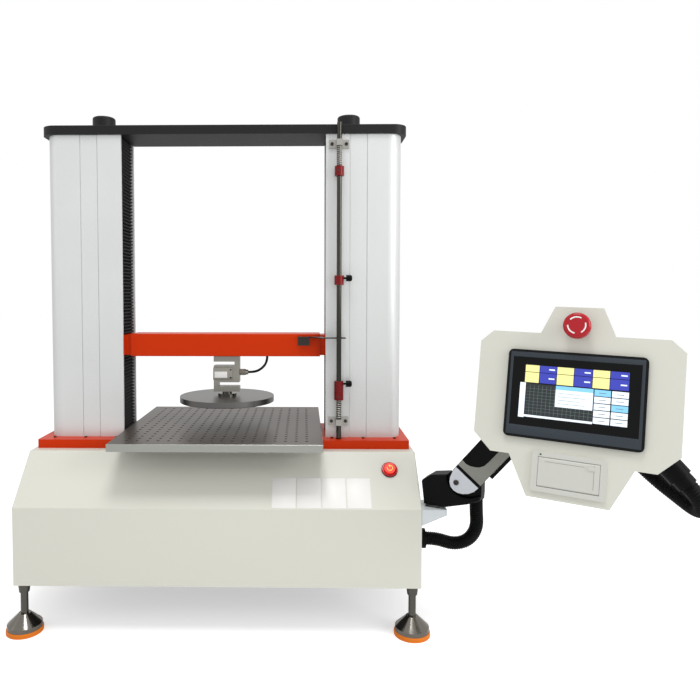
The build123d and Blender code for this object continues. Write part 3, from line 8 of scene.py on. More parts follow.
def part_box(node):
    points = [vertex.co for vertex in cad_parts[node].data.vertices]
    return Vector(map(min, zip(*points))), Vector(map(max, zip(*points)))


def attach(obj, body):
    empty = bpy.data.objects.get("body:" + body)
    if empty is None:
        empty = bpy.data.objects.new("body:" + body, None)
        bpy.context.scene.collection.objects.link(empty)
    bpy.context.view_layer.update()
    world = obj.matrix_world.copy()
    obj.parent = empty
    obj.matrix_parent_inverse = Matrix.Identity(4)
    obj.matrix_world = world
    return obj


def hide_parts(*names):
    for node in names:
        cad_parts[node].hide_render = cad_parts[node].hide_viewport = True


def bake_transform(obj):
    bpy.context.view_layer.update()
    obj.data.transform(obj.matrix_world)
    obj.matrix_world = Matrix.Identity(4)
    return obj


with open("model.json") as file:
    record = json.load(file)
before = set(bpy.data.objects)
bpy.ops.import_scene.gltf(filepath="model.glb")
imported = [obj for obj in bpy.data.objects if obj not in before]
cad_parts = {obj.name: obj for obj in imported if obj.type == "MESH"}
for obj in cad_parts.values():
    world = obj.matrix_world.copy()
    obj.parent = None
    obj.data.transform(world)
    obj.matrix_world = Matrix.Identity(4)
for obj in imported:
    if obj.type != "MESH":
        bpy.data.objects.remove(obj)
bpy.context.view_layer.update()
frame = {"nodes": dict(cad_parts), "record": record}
nodes = frame["nodes"]

# %% [markdown]
# The camera comes first, because every later choice is judged through it. The photograph was taken from just
# in front of the machine, a little above the touch panel and slightly to the right of the load axis. A lens
# shift does what a cropped photograph does: it moves the picture without turning the camera.
# %% camera
mm = 0.001
EYE = (0.1657, -1.349, 0.641)
LOOK_DOWN = 0.042
LOOK_LEFT = 0.016
FOCAL_LENGTH = 32.58
SENSOR_WIDTH = 36
SHIFT_RIGHT = 0.0794
SHIFT_UP = -0.0391
NEAREST_SHOWN = 0.05
bpy.ops.object.camera_add(location=EYE, rotation=(pi / 2 - LOOK_DOWN, 0, LOOK_LEFT))
camera = bpy.context.active_object
camera.name = "photo_camera"
camera.data.lens = FOCAL_LENGTH
camera.data.sensor_width = SENSOR_WIDTH
camera.data.shift_x = SHIFT_RIGHT
camera.data.shift_y = SHIFT_UP
camera.data.clip_start = NEAREST_SHOWN
bpy.context.scene.camera = camera
print("camera", [round(place, 3) for place in EYE], "with a lens of", FOCAL_LENGTH, "mm")

# %% [markdown]
# Two ribbed conduits and one thin cable are soft, so they are drawn as smooth routes through the same points
# that the CAD model uses. A spline of order three cuts gently inside those points, as a hose does. The ribs
# are then built as rings along that line, which keeps them square to the hose at every bend.
# %% routes of the conduits and the cable
LOWER_ROUTE = [
    (398, -140, 174), (420, -140, 174), (452, -140.5, 163), (481, -143, 171),
    (497, -146, 197), (493.67, -148.85, 234), (493.67, -148.85, 258),
]
UPPER_ROUTE = [
    (656, -285, 445), (671.85, -295.26, 421.69), (690.01, -309.46, 392.98), (709.51, -327.96, 367.98),
    (726.01, -352.96, 348.48), (739.01, -379.46, 334.98), (748.7, -403.38, 324.21), (748.83, -421.74, 326.48),
    (742.6, -435.42, 337.25), (732.48, -439.05, 352.3), (722.41, -431.17, 365.74),
]
CABLE_ROUTE = [
    (45.25, 0, 478.5), (57, 0, 478.5), (70, 0, 483), (81, 0, 493), (86, 0, 505), (86, 0, 515),
]
CONDUIT_RADIUS = 12.5 * mm
CABLE_RADIUS = 2.6 * mm
print("points of the routes", len(LOWER_ROUTE), len(UPPER_ROUTE), len(CABLE_ROUTE))

# %% a smooth line through such points, its length, and even steps along it


def in_metres(points):
    return [Vector(point) * mm for point in points]


def spline_curve(name, points):
    data = bpy.data.curves.new(name, "CURVE")
    data.dimensions = "3D"
    data.resolution_u = 24
    spline = data.splines.new("NURBS")
    spline.points.add(len(points) - 1)
    for control, place in zip(spline.points, points):
        control.co = (*place, 1)
    spline.order_u = 3
    spline.use_endpoint_u = True
    curve = bpy.data.objects.new(name, data)
    bpy.context.collection.objects.link(curve)
    return curve


def smooth_line(name, route):
    curve = spline_curve(name, in_metres(route))
    bpy.context.view_layer.update()
    mesh = bpy.data.meshes.new_from_object(curve)
    line = [vertex.co.copy() for vertex in mesh.vertices]
    bpy.data.meshes.remove(mesh)
    bpy.data.objects.remove(curve)
    return line


def length_of(line):
    return sum((b - a).length for a, b in zip(line, line[1:]))


def evenly(line, step):
    count = max(2, round(length_of(line) / step))
    spacing = length_of(line) / count
    stations, walked, target = [line[0]], 0.0, spacing
    for a, b in zip(line, line[1:]):
        run = (b - a).length
        while run > 0 and walked + run >= target - 1e-9 and len(stations) < count:
            stations.append(a.lerp(b, (target - walked) / run))
            target += spacing
        walked += run
    return stations + [line[-1]]


# %% rings along a route, closed into a tube
RING_SIDES = 32


def tube_mesh(name, stations, radii):
    verts, faces = [], []
    side = (stations[1] - stations[0]).orthogonal().normalized()
    for i, (place, radius) in enumerate(zip(stations, radii)):
        before, after = stations[max(i - 1, 0)], stations[min(i + 1, len(stations) - 1)]
        along = (after - before).normalized()
        side = (side - along * side.dot(along)).normalized()
        other = along.cross(side)
        for k in range(RING_SIDES):
            turn = 2 * pi * k / RING_SIDES
            verts.append(place + (side * cos(turn) + other * sin(turn)) * radius)
    for i in range(len(stations) - 1):
        for k in range(RING_SIDES):
            a, b = i * RING_SIDES + k, i * RING_SIDES + (k + 1) % RING_SIDES
            faces.append((a, b, b + RING_SIDES, a + RING_SIDES))
    last = (len(stations) - 1) * RING_SIDES
    faces.append(tuple(reversed(range(RING_SIDES))))
    faces.append(tuple(range(last, last + RING_SIDES)))
    mesh = bpy.data.meshes.new(name)
    mesh.from_pydata(verts, [], faces)
    mesh.update()
    tube = bpy.data.objects.new(name, mesh)
    bpy.context.collection.objects.link(tube)
    return tube


# %% the two conduits and the load cell's cable
RIB_PITCH = 3.6 * mm
RIB_DEPTH = 0.9 * mm
RIB_PATTERN = (0.0, 0.0, RIB_DEPTH, RIB_DEPTH)


def ribbed_conduit(name, route):
    line = smooth_line(name + "_route", route)
    stations = evenly(line, RIB_PITCH / len(RIB_PATTERN))
    radii = [CONDUIT_RADIUS - RIB_PATTERN[i % len(RIB_PATTERN)] for i in range(len(stations))]
    tube = tube_mesh(name, stations, radii)
    print(name, "length", round(length_of(line), 4))
    return tube, line


lower_conduit, lower_line = ribbed_conduit("lower_conduit", LOWER_ROUTE)
upper_conduit, upper_line = ribbed_conduit("upper_conduit", UPPER_ROUTE)
cable_line = smooth_line("cell_cable_route", CABLE_ROUTE)
cable_stations = evenly(cable_line, CABLE_RADIUS / 2)
cell_cable = tube_mesh("cell_cable", cable_stations, [CABLE_RADIUS] * len(cable_stations))
cell_cable.data.shade_smooth()
print("cell_cable length", round(length_of(cable_line), 4))
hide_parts("hose_lower")
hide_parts("hose_upper")
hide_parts("load_cell_cable")
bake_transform(lower_conduit)
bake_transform(upper_conduit)
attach(cell_cable, "crosshead")

# %% [markdown]
# The finishes. Paint, moulded plastic and anodised metal all have a fine grain and a slight change of shade
# over the surface, so one node group makes both, and each finish gives it its own colour, size and strength.
# Numbers that are the same all over stay on the shader itself.
# %% a grain that every finish can use


def linear(red, green, blue):
    levels = []
    for channel in (red, green, blue):
        share = channel / 255
        levels.append(share / 12.92 if share <= 0.04045 else ((share + 0.055) / 1.055) ** 2.4)
    return (*levels, 1.0)


def new_group(name, inputs, outputs):
    group = bpy.data.node_groups.new(name, "ShaderNodeTree")
    for label, kind in inputs:
        group.interface.new_socket(label, in_out="INPUT", socket_type="NodeSocket" + kind)
    for label, kind in outputs:
        group.interface.new_socket(label, in_out="OUTPUT", socket_type="NodeSocket" + kind)
    return group, group.nodes.new("NodeGroupInput"), group.nodes.new("NodeGroupOutput")


def maths(tree, operation, *values):
    node = tree.nodes.new("ShaderNodeMath")
    node.operation = operation
    for socket, value in zip(node.inputs, values):
        if isinstance(value, (int, float)):
            socket.default_value = value
        else:
            tree.links.new(value, socket)
    return node.outputs[0]


grain, grain_in, grain_out = new_group(
    "surface_grain",
    [("Colour", "Color"), ("Mottle", "Float"), ("Roughness", "Float"), ("Spread", "Float"),
     ("Grain Size", "Float"), ("Stretch", "Vector")],
    [("Colour", "Color"), ("Roughness", "Float"), ("Height", "Float")],
)
where = grain.nodes.new("ShaderNodeTexCoord")
stretch = grain.nodes.new("ShaderNodeVectorMath")
stretch.operation = "MULTIPLY"
grain.links.new(where.outputs["Object"], stretch.inputs[0])
grain.links.new(grain_in.outputs["Stretch"], stretch.inputs[1])
fine = grain.nodes.new("ShaderNodeTexNoise")
fine.inputs["Detail"].default_value = 2.0
grain.links.new(stretch.outputs[0], fine.inputs["Vector"])
grain.links.new(maths(grain, "DIVIDE", 1.0, grain_in.outputs["Grain Size"]), fine.inputs["Scale"])
broad = grain.nodes.new("ShaderNodeTexNoise")
broad.inputs["Scale"].default_value = 5.0
broad.inputs["Detail"].default_value = 3.0
grain.links.new(where.outputs["Object"], broad.inputs["Vector"])
both = maths(grain, "ADD", maths(grain, "MULTIPLY", fine.outputs["Fac"], 0.6),
             maths(grain, "MULTIPLY", broad.outputs["Fac"], 0.4))
offset = maths(grain, "MULTIPLY", maths(grain, "SUBTRACT", both, 0.5), grain_in.outputs["Mottle"])
shade = grain.nodes.new("ShaderNodeVectorMath")
shade.operation = "SCALE"
grain.links.new(grain_in.outputs["Colour"], shade.inputs[0])
grain.links.new(maths(grain, "ADD", offset, 1.0), shade.inputs["Scale"])
grain.links.new(shade.outputs[0], grain_out.inputs["Colour"])
uneven = maths(grain, "MULTIPLY", maths(grain, "SUBTRACT", both, 0.5), grain_in.outputs["Spread"])
grain.links.new(maths(grain, "ADD", uneven, grain_in.outputs["Roughness"]), grain_out.inputs["Roughness"])
grain.links.new(fine.outputs["Fac"], grain_out.inputs["Height"])
print("the grain has", len(grain.nodes), "nodes")

# %% one function that builds a finish from that grain


def make_finish(
    name, colour, roughness, metallic=0.0, mottle=0.06, spread=0.1, grain_size=0.8, relief=0.05,
    stretch_by=(1, 1, 1), glow=0.0, glow_colour=None, specular=0.5,
):
    material = bpy.data.materials.new(name)
    material.use_nodes = True
    tree = material.node_tree
    shader = tree.nodes["Principled BSDF"]
    shader.inputs["Metallic"].default_value = metallic
    shader.inputs["Specular IOR Level"].default_value = specular
    surface = tree.nodes.new("ShaderNodeGroup")
    surface.node_tree = grain
    surface.inputs["Colour"].default_value = linear(*colour)
    surface.inputs["Mottle"].default_value = mottle
    surface.inputs["Roughness"].default_value = roughness
    surface.inputs["Spread"].default_value = spread
    surface.inputs["Grain Size"].default_value = grain_size * mm
    surface.inputs["Stretch"].default_value = stretch_by
    tree.links.new(surface.outputs["Colour"], shader.inputs["Base Color"])
    tree.links.new(surface.outputs["Roughness"], shader.inputs["Roughness"])
    if relief:
        bump = tree.nodes.new("ShaderNodeBump")
        bump.inputs["Strength"].default_value = 1.0
        bump.inputs["Distance"].default_value = relief * mm
        tree.links.new(surface.outputs["Height"], bump.inputs["Height"])
        tree.links.new(bump.outputs["Normal"], shader.inputs["Normal"])
    if glow:
        shader.inputs["Emission Color"].default_value = linear(*(glow_colour or colour))
        shader.inputs["Emission Strength"].default_value = glow
    return material


# %% the finishes of this machine
ALONG_X = (0.02, 1, 1)
# the table top's colour is steel plus a painted dark reflection, and the lip's colour is steel plus a painted
# highlight
TOP_STEEL_AND_REFLECTION_COLOUR = (94, 87, 81)
LIP_STEEL_AND_HIGHLIGHT_COLOUR = (166, 168, 161)
LOOKS = {
    "cream_paint": dict(colour=(217, 217, 206), roughness=0.42, relief=0.012, grain_size=1.2, mottle=0.02),
    "orange_paint": dict(colour=(203, 51, 2), roughness=0.34, relief=0.008, mottle=0.03, specular=0.12),
    "satin_aluminium": dict(
        colour=(218, 220, 219), roughness=0.46, metallic=0.3, relief=0.03, grain_size=1.0, mottle=0.4),
    "black_texture_paint": dict(
        colour=(17, 17, 19), roughness=0.5, relief=0.12, grain_size=0.9, mottle=0.8, spread=0.25,
        specular=0.3),
    "bellows_rubber": dict(colour=(12, 12, 13), roughness=0.6, mottle=0.3, specular=0.3),
    "table_paint": dict(
        colour=TOP_STEEL_AND_REFLECTION_COLOUR, roughness=0.36, metallic=0.6, mottle=0.12, stretch_by=ALONG_X, relief=0.01),
    "platen_steel": dict(colour=(112, 110, 108), roughness=0.32, metallic=0.9, mottle=0.1, relief=0.01),
    "bright_steel": dict(colour=(98, 96, 90), roughness=0.22, metallic=1.0, mottle=0.12, relief=0.005),
    "grey_steel": dict(colour=(176, 174, 168), roughness=0.34, metallic=0.8, mottle=0.08, relief=0.01),
    "dark_steel": dict(colour=(70, 66, 62), roughness=0.35, metallic=0.9, mottle=0.1, relief=0.01),
    # the limit rod's steel is darkened as a painted dark reflection
    "rod_steel_painted_reflection": dict(colour=(70, 69, 64), roughness=0.2, metallic=1.0, mottle=0.1, relief=0.0),
    "spring_steel": dict(colour=(196, 194, 188), roughness=0.3, metallic=0.7, mottle=0.1, relief=0.0),
    "frame_steel": dict(colour=(92, 92, 94), roughness=0.5, metallic=0.3),
    "cell_alloy": dict(colour=(160, 158, 149), roughness=0.36, metallic=0.8, mottle=0.08, relief=0.01),
    "foot_chrome": dict(colour=(124, 120, 113), roughness=0.14, metallic=1.0, mottle=0.1, relief=0.0),
    "orange_rubber": dict(colour=(226, 122, 24), roughness=0.5, mottle=0.05, specular=0.3),
    "collar_red": dict(
        colour=(118, 14, 16), roughness=0.34, metallic=0.2, mottle=0.08, relief=0.01, specular=0.3),
    "red_plastic": dict(colour=(176, 18, 32), roughness=0.24, relief=0.0, specular=0.4),
    "black_plastic": dict(colour=(6, 7, 7), roughness=0.42, mottle=0.3, relief=0.03, specular=0.1),
    "slate_plastic": dict(colour=(50, 58, 65), roughness=0.45, mottle=0.06, relief=0.02, specular=0.3),
    "panel_plastic": dict(colour=(9, 10, 12), roughness=0.36, mottle=0.2, relief=0.02, specular=0.2),
    "printer_plastic": dict(colour=(206, 206, 199), roughness=0.45, mottle=0.02, relief=0.02),
    "conduit_plastic": dict(colour=(5, 6, 6), roughness=0.45, mottle=0.3, relief=0.01, specular=0.12),
    "cable_rubber": dict(colour=(11, 11, 12), roughness=0.5, mottle=0.2, specular=0.25),
    "shelf_paint": dict(colour=(212, 218, 221), roughness=0.4, mottle=0.02, relief=0.01),
    "arm_shell": dict(colour=(136, 136, 129), roughness=0.42, mottle=0.05, relief=0.03, grain_size=0.6),
    "arm_silver": dict(colour=(206, 210, 216), roughness=0.35, metallic=0.25, mottle=0.04, relief=0.02),
    "screen_glass": dict(
        colour=(3, 4, 5), roughness=0.08, mottle=0.02, spread=0.02, relief=0.0, specular=0.18),
    "white_print": dict(colour=(244, 243, 240), roughness=0.4, mottle=0.01, relief=0.0),
    "groove_shadow": dict(colour=(150, 147, 138), roughness=0.5, relief=0.0),
    "lamp_green": dict(colour=(40, 92, 50), roughness=0.3, relief=0.0),
    "lit_red": dict(colour=(214, 30, 18), roughness=0.25, glow=0.45, glow_colour=(255, 60, 30), relief=0.0),
    "lit_amber": dict(colour=(255, 168, 70), roughness=0.3, glow=0.9, relief=0.0),
}
finishes = {name: make_finish(name, **look) for name, look in LOOKS.items()}
print(len(finishes), "finishes")

# %% [markdown]
# The load table is one folded sheet of one steel, but its top is dull and its folded lip is bright: the top's
# darker colour is a painted dark reflection, and the lip's brighter colour is a painted highlight. A mask
# tells them apart by place: what lies within half a millimetre of the sheet's outer walls is the lip.
# %% painted reflection on the load table's top and painted highlight on its lip
table_low, table_high = (Vector(corner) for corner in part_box("load_table"))
LIP_DEPTH = 0.5 * mm
tree = finishes["table_paint"].node_tree
table_place = tree.nodes.new("ShaderNodeTexCoord")
split = tree.nodes.new("ShaderNodeSeparateXYZ")
tree.links.new(table_place.outputs["Object"], split.inputs["Vector"])
sideways = maths(tree, "ABSOLUTE", split.outputs["X"])
# the lip mask lays the painted highlight on the folded lip, and the rest of the sheet keeps the painted dark
# reflection
beside = maths(tree, "GREATER_THAN", sideways, table_high.x - LIP_DEPTH)
before = maths(tree, "LESS_THAN", split.outputs["Y"], table_low.y + LIP_DEPTH)
behind = maths(tree, "GREATER_THAN", split.outputs["Y"], table_high.y - LIP_DEPTH)
lip_highlight_mask = maths(tree, "MAXIMUM", beside, maths(tree, "MAXIMUM", before, behind))
tone = tree.nodes.new("ShaderNodeMix")
tone.data_type = "RGBA"
TONE_OFF, TONE_ON, TONE_OUT = 6, 7, 2
tree.links.new(lip_highlight_mask, tone.inputs["Factor"])
tone.inputs[TONE_OFF].default_value = linear(*TOP_STEEL_AND_REFLECTION_COLOUR)
tone.inputs[TONE_ON].default_value = linear(*LIP_STEEL_AND_HIGHLIGHT_COLOUR)
sheet_grain = next(node for node in tree.nodes if node.type == "GROUP")
tree.links.new(tone.outputs[TONE_OUT], sheet_grain.inputs["Colour"])
print("load table", round((table_high.x - table_low.x) / mm), "mm wide")

# %% [markdown]
# Every solid gets the finish of its slot in the record. Two steel parts are darker in the photograph than
# others of their slot, so each has a steel of its own: the trip bracket a dark steel, and the limit rod a
# steel whose darker colour is a painted dark reflection.
# %% finishes on the solids and the cords
slot_of = {part["node"]: part["material_slot"] for part in frame["record"]["subparts"]}
for node_name, node in nodes.items():
    node.data.materials.clear()
    node.data.materials.append(finishes[slot_of[node_name]])
nodes["trip_bracket"].data.materials[0] = finishes["dark_steel"]
# the limit rod's darker steel is a painted dark reflection
nodes["limit_rod"].data.materials[0] = finishes["rod_steel_painted_reflection"]
for piece, slot in ((lower_conduit, "conduit_plastic"), (upper_conduit, "conduit_plastic"),
                    (cell_cable, "cable_rubber")):
    piece.data.materials.append(finishes[slot])
print(len(slot_of), "solids have a finish")

# %% [markdown]
# The room. The photograph stands on pure white, so the floor and the sky are white to the camera and to
# reflections, while the light on the machine stays soft: a big lamp above the operator and two weak ones.
# %% floor, sky and lamps


def nothing_selected():
    if bpy.context.mode != "OBJECT":
        bpy.ops.object.mode_set(mode="OBJECT")
    bpy.ops.object.select_all(action="DESELECT")


nothing_selected()
FLOOR_SIZE = 30
FLOOR_GREY = 0.86
FLOOR_LIFT = 0.46
AMBIENT = 0.64
REFLECTED_SKY = 0.85
bpy.ops.mesh.primitive_plane_add(size=FLOOR_SIZE)
floor = bpy.context.active_object
floor.name = "studio_floor"
floor_paint = bpy.data.materials.new("studio_floor")
floor_paint.use_nodes = True
tree = floor_paint.node_tree
floor_shader = tree.nodes["Principled BSDF"]
floor_shader.inputs["Base Color"].default_value = (FLOOR_GREY, FLOOR_GREY, FLOOR_GREY, 1)
floor_shader.inputs["Roughness"].default_value = 0.9
floor_shader.inputs["Specular IOR Level"].default_value = 0.0
floor_shader.inputs["Emission Color"].default_value = (1, 1, 1, 1)
seen = tree.nodes.new("ShaderNodeLightPath")
lift = maths(tree, "MULTIPLY", seen.outputs["Is Camera Ray"], FLOOR_LIFT)
tree.links.new(lift, floor_shader.inputs["Emission Strength"])
floor.data.materials.append(floor_paint)

world = bpy.data.worlds.new("studio")
bpy.context.scene.world = world
world.use_nodes = True
tree = world.node_tree
background = tree.nodes["Background"]
background.inputs["Color"].default_value = (1, 1, 1, 1)
seen = tree.nodes.new("ShaderNodeLightPath")
shown = maths(tree, "MAXIMUM", seen.outputs["Is Camera Ray"], seen.outputs["Is Transmission Ray"])
glossy = maths(tree, "MULTIPLY", seen.outputs["Is Glossy Ray"], REFLECTED_SKY)
strength = maths(tree, "MAXIMUM", maths(tree, "MAXIMUM", shown, glossy), AMBIENT)
tree.links.new(strength, background.inputs["Strength"])


def soft_lamp(name, place, target, size, watts):
    nothing_selected()
    aim = (Vector(target) - Vector(place)).to_track_quat("-Z", "Y").to_euler()
    bpy.ops.object.light_add(type="AREA", location=place, rotation=aim)
    lamp = bpy.context.active_object
    lamp.name = name
    lamp.data.size = size
    lamp.data.energy = watts
    print(name, watts, "W")


soft_lamp("key_lamp", (0.1, -0.9, 2.9), (0.1, 0, 0.4), 0.8, 24)
soft_lamp("left_lamp", (-2.6, -1.2, 1.3), (0, 0, 0.5), 1.4, 5)
soft_lamp("right_lamp", (2.2, -1.5, 1.2), (0.4, 0, 0.5), 1.2, 26)
bpy.context.scene.view_settings.view_transform = "Standard"

# %% [markdown]
# New pieces start as a primitive at its size, get their edges broken with a bevel, and end at the origin
# with their place in the mesh, so that patterns and joints treat them as they treat the CAD solids. Parts
# on the sloped panel, the pendant and the arm are made flat and then put down by that part's own frame.
# %% helpers that shape a piece


def run_modifier(piece, kind, **values):
    modifier = piece.modifiers.new(kind.lower(), kind)
    for key, value in values.items():
        setattr(modifier, key, value)
    bpy.context.view_layer.objects.active = piece
    bpy.ops.object.modifier_apply(modifier=modifier.name)


def put_down(piece, place=None):
    nothing_selected()
    piece.select_set(True)
    bpy.context.view_layer.objects.active = piece
    if place is not None:
        piece.matrix_world = place @ piece.matrix_world
    bpy.ops.object.transform_apply(location=True, rotation=True, scale=True)


def block(size, centre, edge=0.3):
    nothing_selected()
    bpy.ops.mesh.primitive_cube_add(size=1, location=Vector(centre) * mm, scale=Vector(size) * mm)
    piece = bpy.context.active_object
    put_down(piece)
    if edge:
        run_modifier(piece, "BEVEL", width=edge * mm, segments=2, limit_method="ANGLE")
    return piece


def follow_outline(outline):
    nothing_selected()
    bpy.ops.mesh.primitive_plane_add(size=mm)
    bpy.ops.object.mode_set(mode="EDIT")
    bpy.ops.mesh.select_all(action="SELECT")
    bpy.ops.mesh.merge(type="CENTER")
    corners = [Vector((*corner, 0)) if len(corner) == 2 else Vector(corner) for corner in outline]
    bpy.ops.transform.translate(value=corners[0] * mm)
    for a, b in zip(corners, corners[1:]):
        bpy.ops.mesh.extrude_region_move(TRANSFORM_OT_translate={"value": (b - a) * mm})
    bpy.ops.mesh.select_all(action="SELECT")
    return bpy.context.active_object


def plate(outline, thickness, low=0.0, edge=0.0):
    piece = follow_outline(outline)
    bpy.ops.mesh.edge_face_add()
    bpy.ops.transform.translate(value=(0, 0, low * mm))
    bpy.ops.mesh.extrude_region_move(TRANSFORM_OT_translate={"value": (0, 0, thickness * mm)})
    bpy.ops.mesh.select_all(action="SELECT")
    bpy.ops.mesh.normals_make_consistent(inside=False)
    bpy.ops.object.mode_set(mode="OBJECT")
    if edge:
        run_modifier(
            piece, "BEVEL", width=edge * mm, segments=2, limit_method="ANGLE", angle_limit=radians(50))
    return piece


def turned(outline, steps=48):
    piece = follow_outline([(radius, 0, height) for radius, height in outline])
    bpy.ops.mesh.spin(steps=steps, angle=2 * pi, center=(0, 0, 0), axis=(0, 0, 1))
    bpy.ops.mesh.select_all(action="SELECT")
    bpy.ops.mesh.remove_doubles(threshold=1e-6)
    bpy.ops.mesh.normals_make_consistent(inside=False)
    bpy.ops.object.mode_set(mode="OBJECT")
    return piece


# %% helpers that copy, join, finish and place a piece
SMOOTH_UP_TO = radians(32)


def copies(piece, places):
    made = []
    for place in places:
        twin = piece.copy()
        twin.data = piece.data.copy()
        bpy.context.collection.objects.link(twin)
        put_down(twin, place)
        made.append(twin)
    bpy.data.objects.remove(piece)
    return made


def joined(pieces):
    nothing_selected()
    for piece in pieces:
        piece.select_set(True)
    bpy.context.view_layer.objects.active = pieces[0]
    if len(pieces) > 1:
        bpy.ops.object.join()
    return bpy.context.view_layer.objects.active


def hand_over(piece, name, body, slot, finish=None, place=None, rides=True):
    put_down(piece, place)
    piece.name = name
    piece.data.name = name
    bpy.ops.object.shade_smooth_by_angle(angle=SMOOTH_UP_TO)
    piece.data.materials.clear()
    piece.data.materials.append(finishes[finish or slot])
    if rides:
        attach(piece, body)
    return piece


def frame_matrix(origin, right, up):
    right, up = Vector(right).normalized(), Vector(up).normalized()
    out = right.cross(up)
    matrix = Matrix((right, up, out)).transposed().to_4x4()
    matrix.translation = Vector(origin) * mm
    return matrix


def at(x, y, z=0.0):
    return Matrix.Translation(Vector((x, y, z)) * mm)


# %% frames of the slope, the pendant and the arm's link
slope = frame_matrix((0, -182.5, 243), (1, 0, 0), (0, 83, 89))
TURN, LEAN, ROLL = radians(27.7), radians(9.7), radians(1.8)
facing = Vector((-sin(TURN), -cos(TURN), 0))
level = Vector((cos(TURN), -sin(TURN), 0))
outward = facing * cos(LEAN) + Vector((0, 0, sin(LEAN)))
lean_up = outward.cross(level)
across = level * cos(ROLL) - lean_up * sin(ROLL)
pendant = frame_matrix((593.0, -353.9, 592.1), across, outward.cross(across))
arm_pivot = Vector((470.654, -183.865, 309.0))
wrist_pivot = Vector((592.664, -252.490, 481.0))
arm_side = Vector((-0.490230, -0.871593, 0.0))
link_along = (wrist_pivot - arm_pivot).normalized()
link = frame_matrix(arm_pivot, link_along, arm_side.cross(link_along))
link_length = (wrist_pivot - arm_pivot).length
faces_front = Matrix.Rotation(pi / 2, 4, "X")
print("link length", round(link_length, 1), "mm")

# %% [markdown]
# Black folded bellows close the slot in each column. A loop walks the outline of the folds up the slot, and
# that outline is drawn out to the slot's depth, which gives one closed shape.
# %% bellows
FOLD_PITCH = 7.0
FOLD_BACK = 4.5
SLOT_INNER, SLOT_OUTER, SLOT_HALF_DEPTH = 211.3, 221.7, 43.7
CREST_LOW, CREST_HIGH = 0.42, 0.58


def folded_strip(side, low, high):
    count = max(2, round((high - low) / FOLD_PITCH))
    pitch = (high - low) / count
    crest, valley, back = side * SLOT_INNER, side * (SLOT_OUTER - FOLD_BACK), side * SLOT_OUTER
    outline = [(back, low)]
    for fold in range(count):
        foot = low + fold * pitch
        outline += [(valley, foot), (crest, foot + pitch * CREST_LOW), (crest, foot + pitch * CREST_HIGH)]
    outline += [(valley, high), (back, high)]
    strip = plate(outline, 2 * SLOT_HALF_DEPTH, -SLOT_HALF_DEPTH)
    put_down(strip, faces_front)
    return strip


BELLOWS_SPANS = {"upper_bellows": (559.9, 968.9), "lower_bellows": (349.6, 517.1)}
for node_name, (low, high) in BELLOWS_SPANS.items():
    strip = joined([folded_strip(side, low, high) for side in (-1, 1)])
    hand_over(strip, node_name + "_folds", "frame", "bellows_rubber", rides=False)
    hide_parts(node_name)
    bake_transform(strip)
    print(strip.name, round(high - low, 1), "mm,", len(strip.data.polygons), "faces")

# %% [markdown]
# Two coil springs centre the limit rod. A small circle of wire is swept round the rod by a screw modifier,
# which turns and lifts it at once, from the bracket at one end to the collar at the other.
# %% coil springs
ROD = (235.5, -64.0)
SPRING_RADIUS, WIRE_RADIUS = 5.55, 0.7


def coil(low, high, turns):
    nothing_selected()
    bpy.ops.mesh.primitive_circle_add(vertices=10, radius=WIRE_RADIUS * mm, rotation=(pi / 2, 0, 0),
                                      location=(SPRING_RADIUS * mm, 0, WIRE_RADIUS * mm), fill_type="NGON")
    piece = bpy.context.active_object
    put_down(piece)
    run_modifier(piece, "SCREW", axis="Z", angle=2 * pi, iterations=turns, steps=28, render_steps=28,
                 screw_offset=(high - low - 2 * WIRE_RADIUS) / turns * mm, use_merge_vertices=True)
    put_down(piece, at(*ROD, low))
    bpy.ops.object.mode_set(mode="EDIT")
    bpy.ops.mesh.select_all(action="DESELECT")
    bpy.ops.mesh.select_non_manifold()
    bpy.ops.mesh.fill_holes(sides=0)
    bpy.ops.mesh.select_all(action="SELECT")
    bpy.ops.mesh.normals_make_consistent(inside=False)
    bpy.ops.object.mode_set(mode="OBJECT")
    return piece


TURNS = 10
SPRINGS = {"lower_spring": (390.4, 429.5), "upper_spring": (901.1, 941.6)}
for spring_name, (low, high) in SPRINGS.items():
    spring = coil(low, high, TURNS)
    hand_over(spring, spring_name, "frame", "bright_steel", "spring_steel", rides=False)
    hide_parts("rod_springs")
    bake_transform(spring)
    print(spring_name, round(high - low, 1), "mm,", TURNS, "turns")

# %% [markdown]
# Small screws hold the brackets, the collars and the plates. One socket-head screw is turned once and
# copied to each place, and the copies on one part are joined so that they move and bake together.
# %% screws


def socket_screw(radius, height):
    return turned([(0, height * 0.45), (radius * 0.5, height * 0.45), (radius * 0.55, height),
                   (radius * 0.88, height), (radius, height * 0.86), (radius, 0), (0, 0)], steps=20)


def screws(name, body, radius, height, places, slot="bright_steel"):
    print(name, len(places))
    return hand_over(joined(copies(socket_screw(radius, height), places)), name, body, slot, "dark_steel")


faces_rear = Matrix.Rotation(-pi / 2, 4, "X")
BRACKET_HALF_PITCH, BRACKET_FRONT, BRACKET_HEIGHTS = 14.5, -53, (384, 948)
bracket_places = [at(ROD[0] + side * BRACKET_HALF_PITCH, BRACKET_FRONT, z) @ faces_front
                  for z in BRACKET_HEIGHTS for side in (-1, 1)]
screws("bracket_screws", "frame", 3.4, 2.4, bracket_places)
TRIP_PLATE_FRONT, TRIP_HEIGHT = -34, 545.5
trip_places = [at(x, TRIP_PLATE_FRONT, TRIP_HEIGHT) @ faces_front for x in (159.5, 168.5)]
screws("trip_screws", "crosshead", 2.6, 1.6, trip_places, "grey_steel")
BASE_PLATE_TOP = 349.5
plate_places = [at(side * x, y, BASE_PLATE_TOP)
                for side in (-1, 1) for x in (222, 286, 350) for y in (-58, 70)]
screws("foot_of_column_screws", "frame", 3.0, 2.2, plate_places)
SEAT_FRONT = -73.1
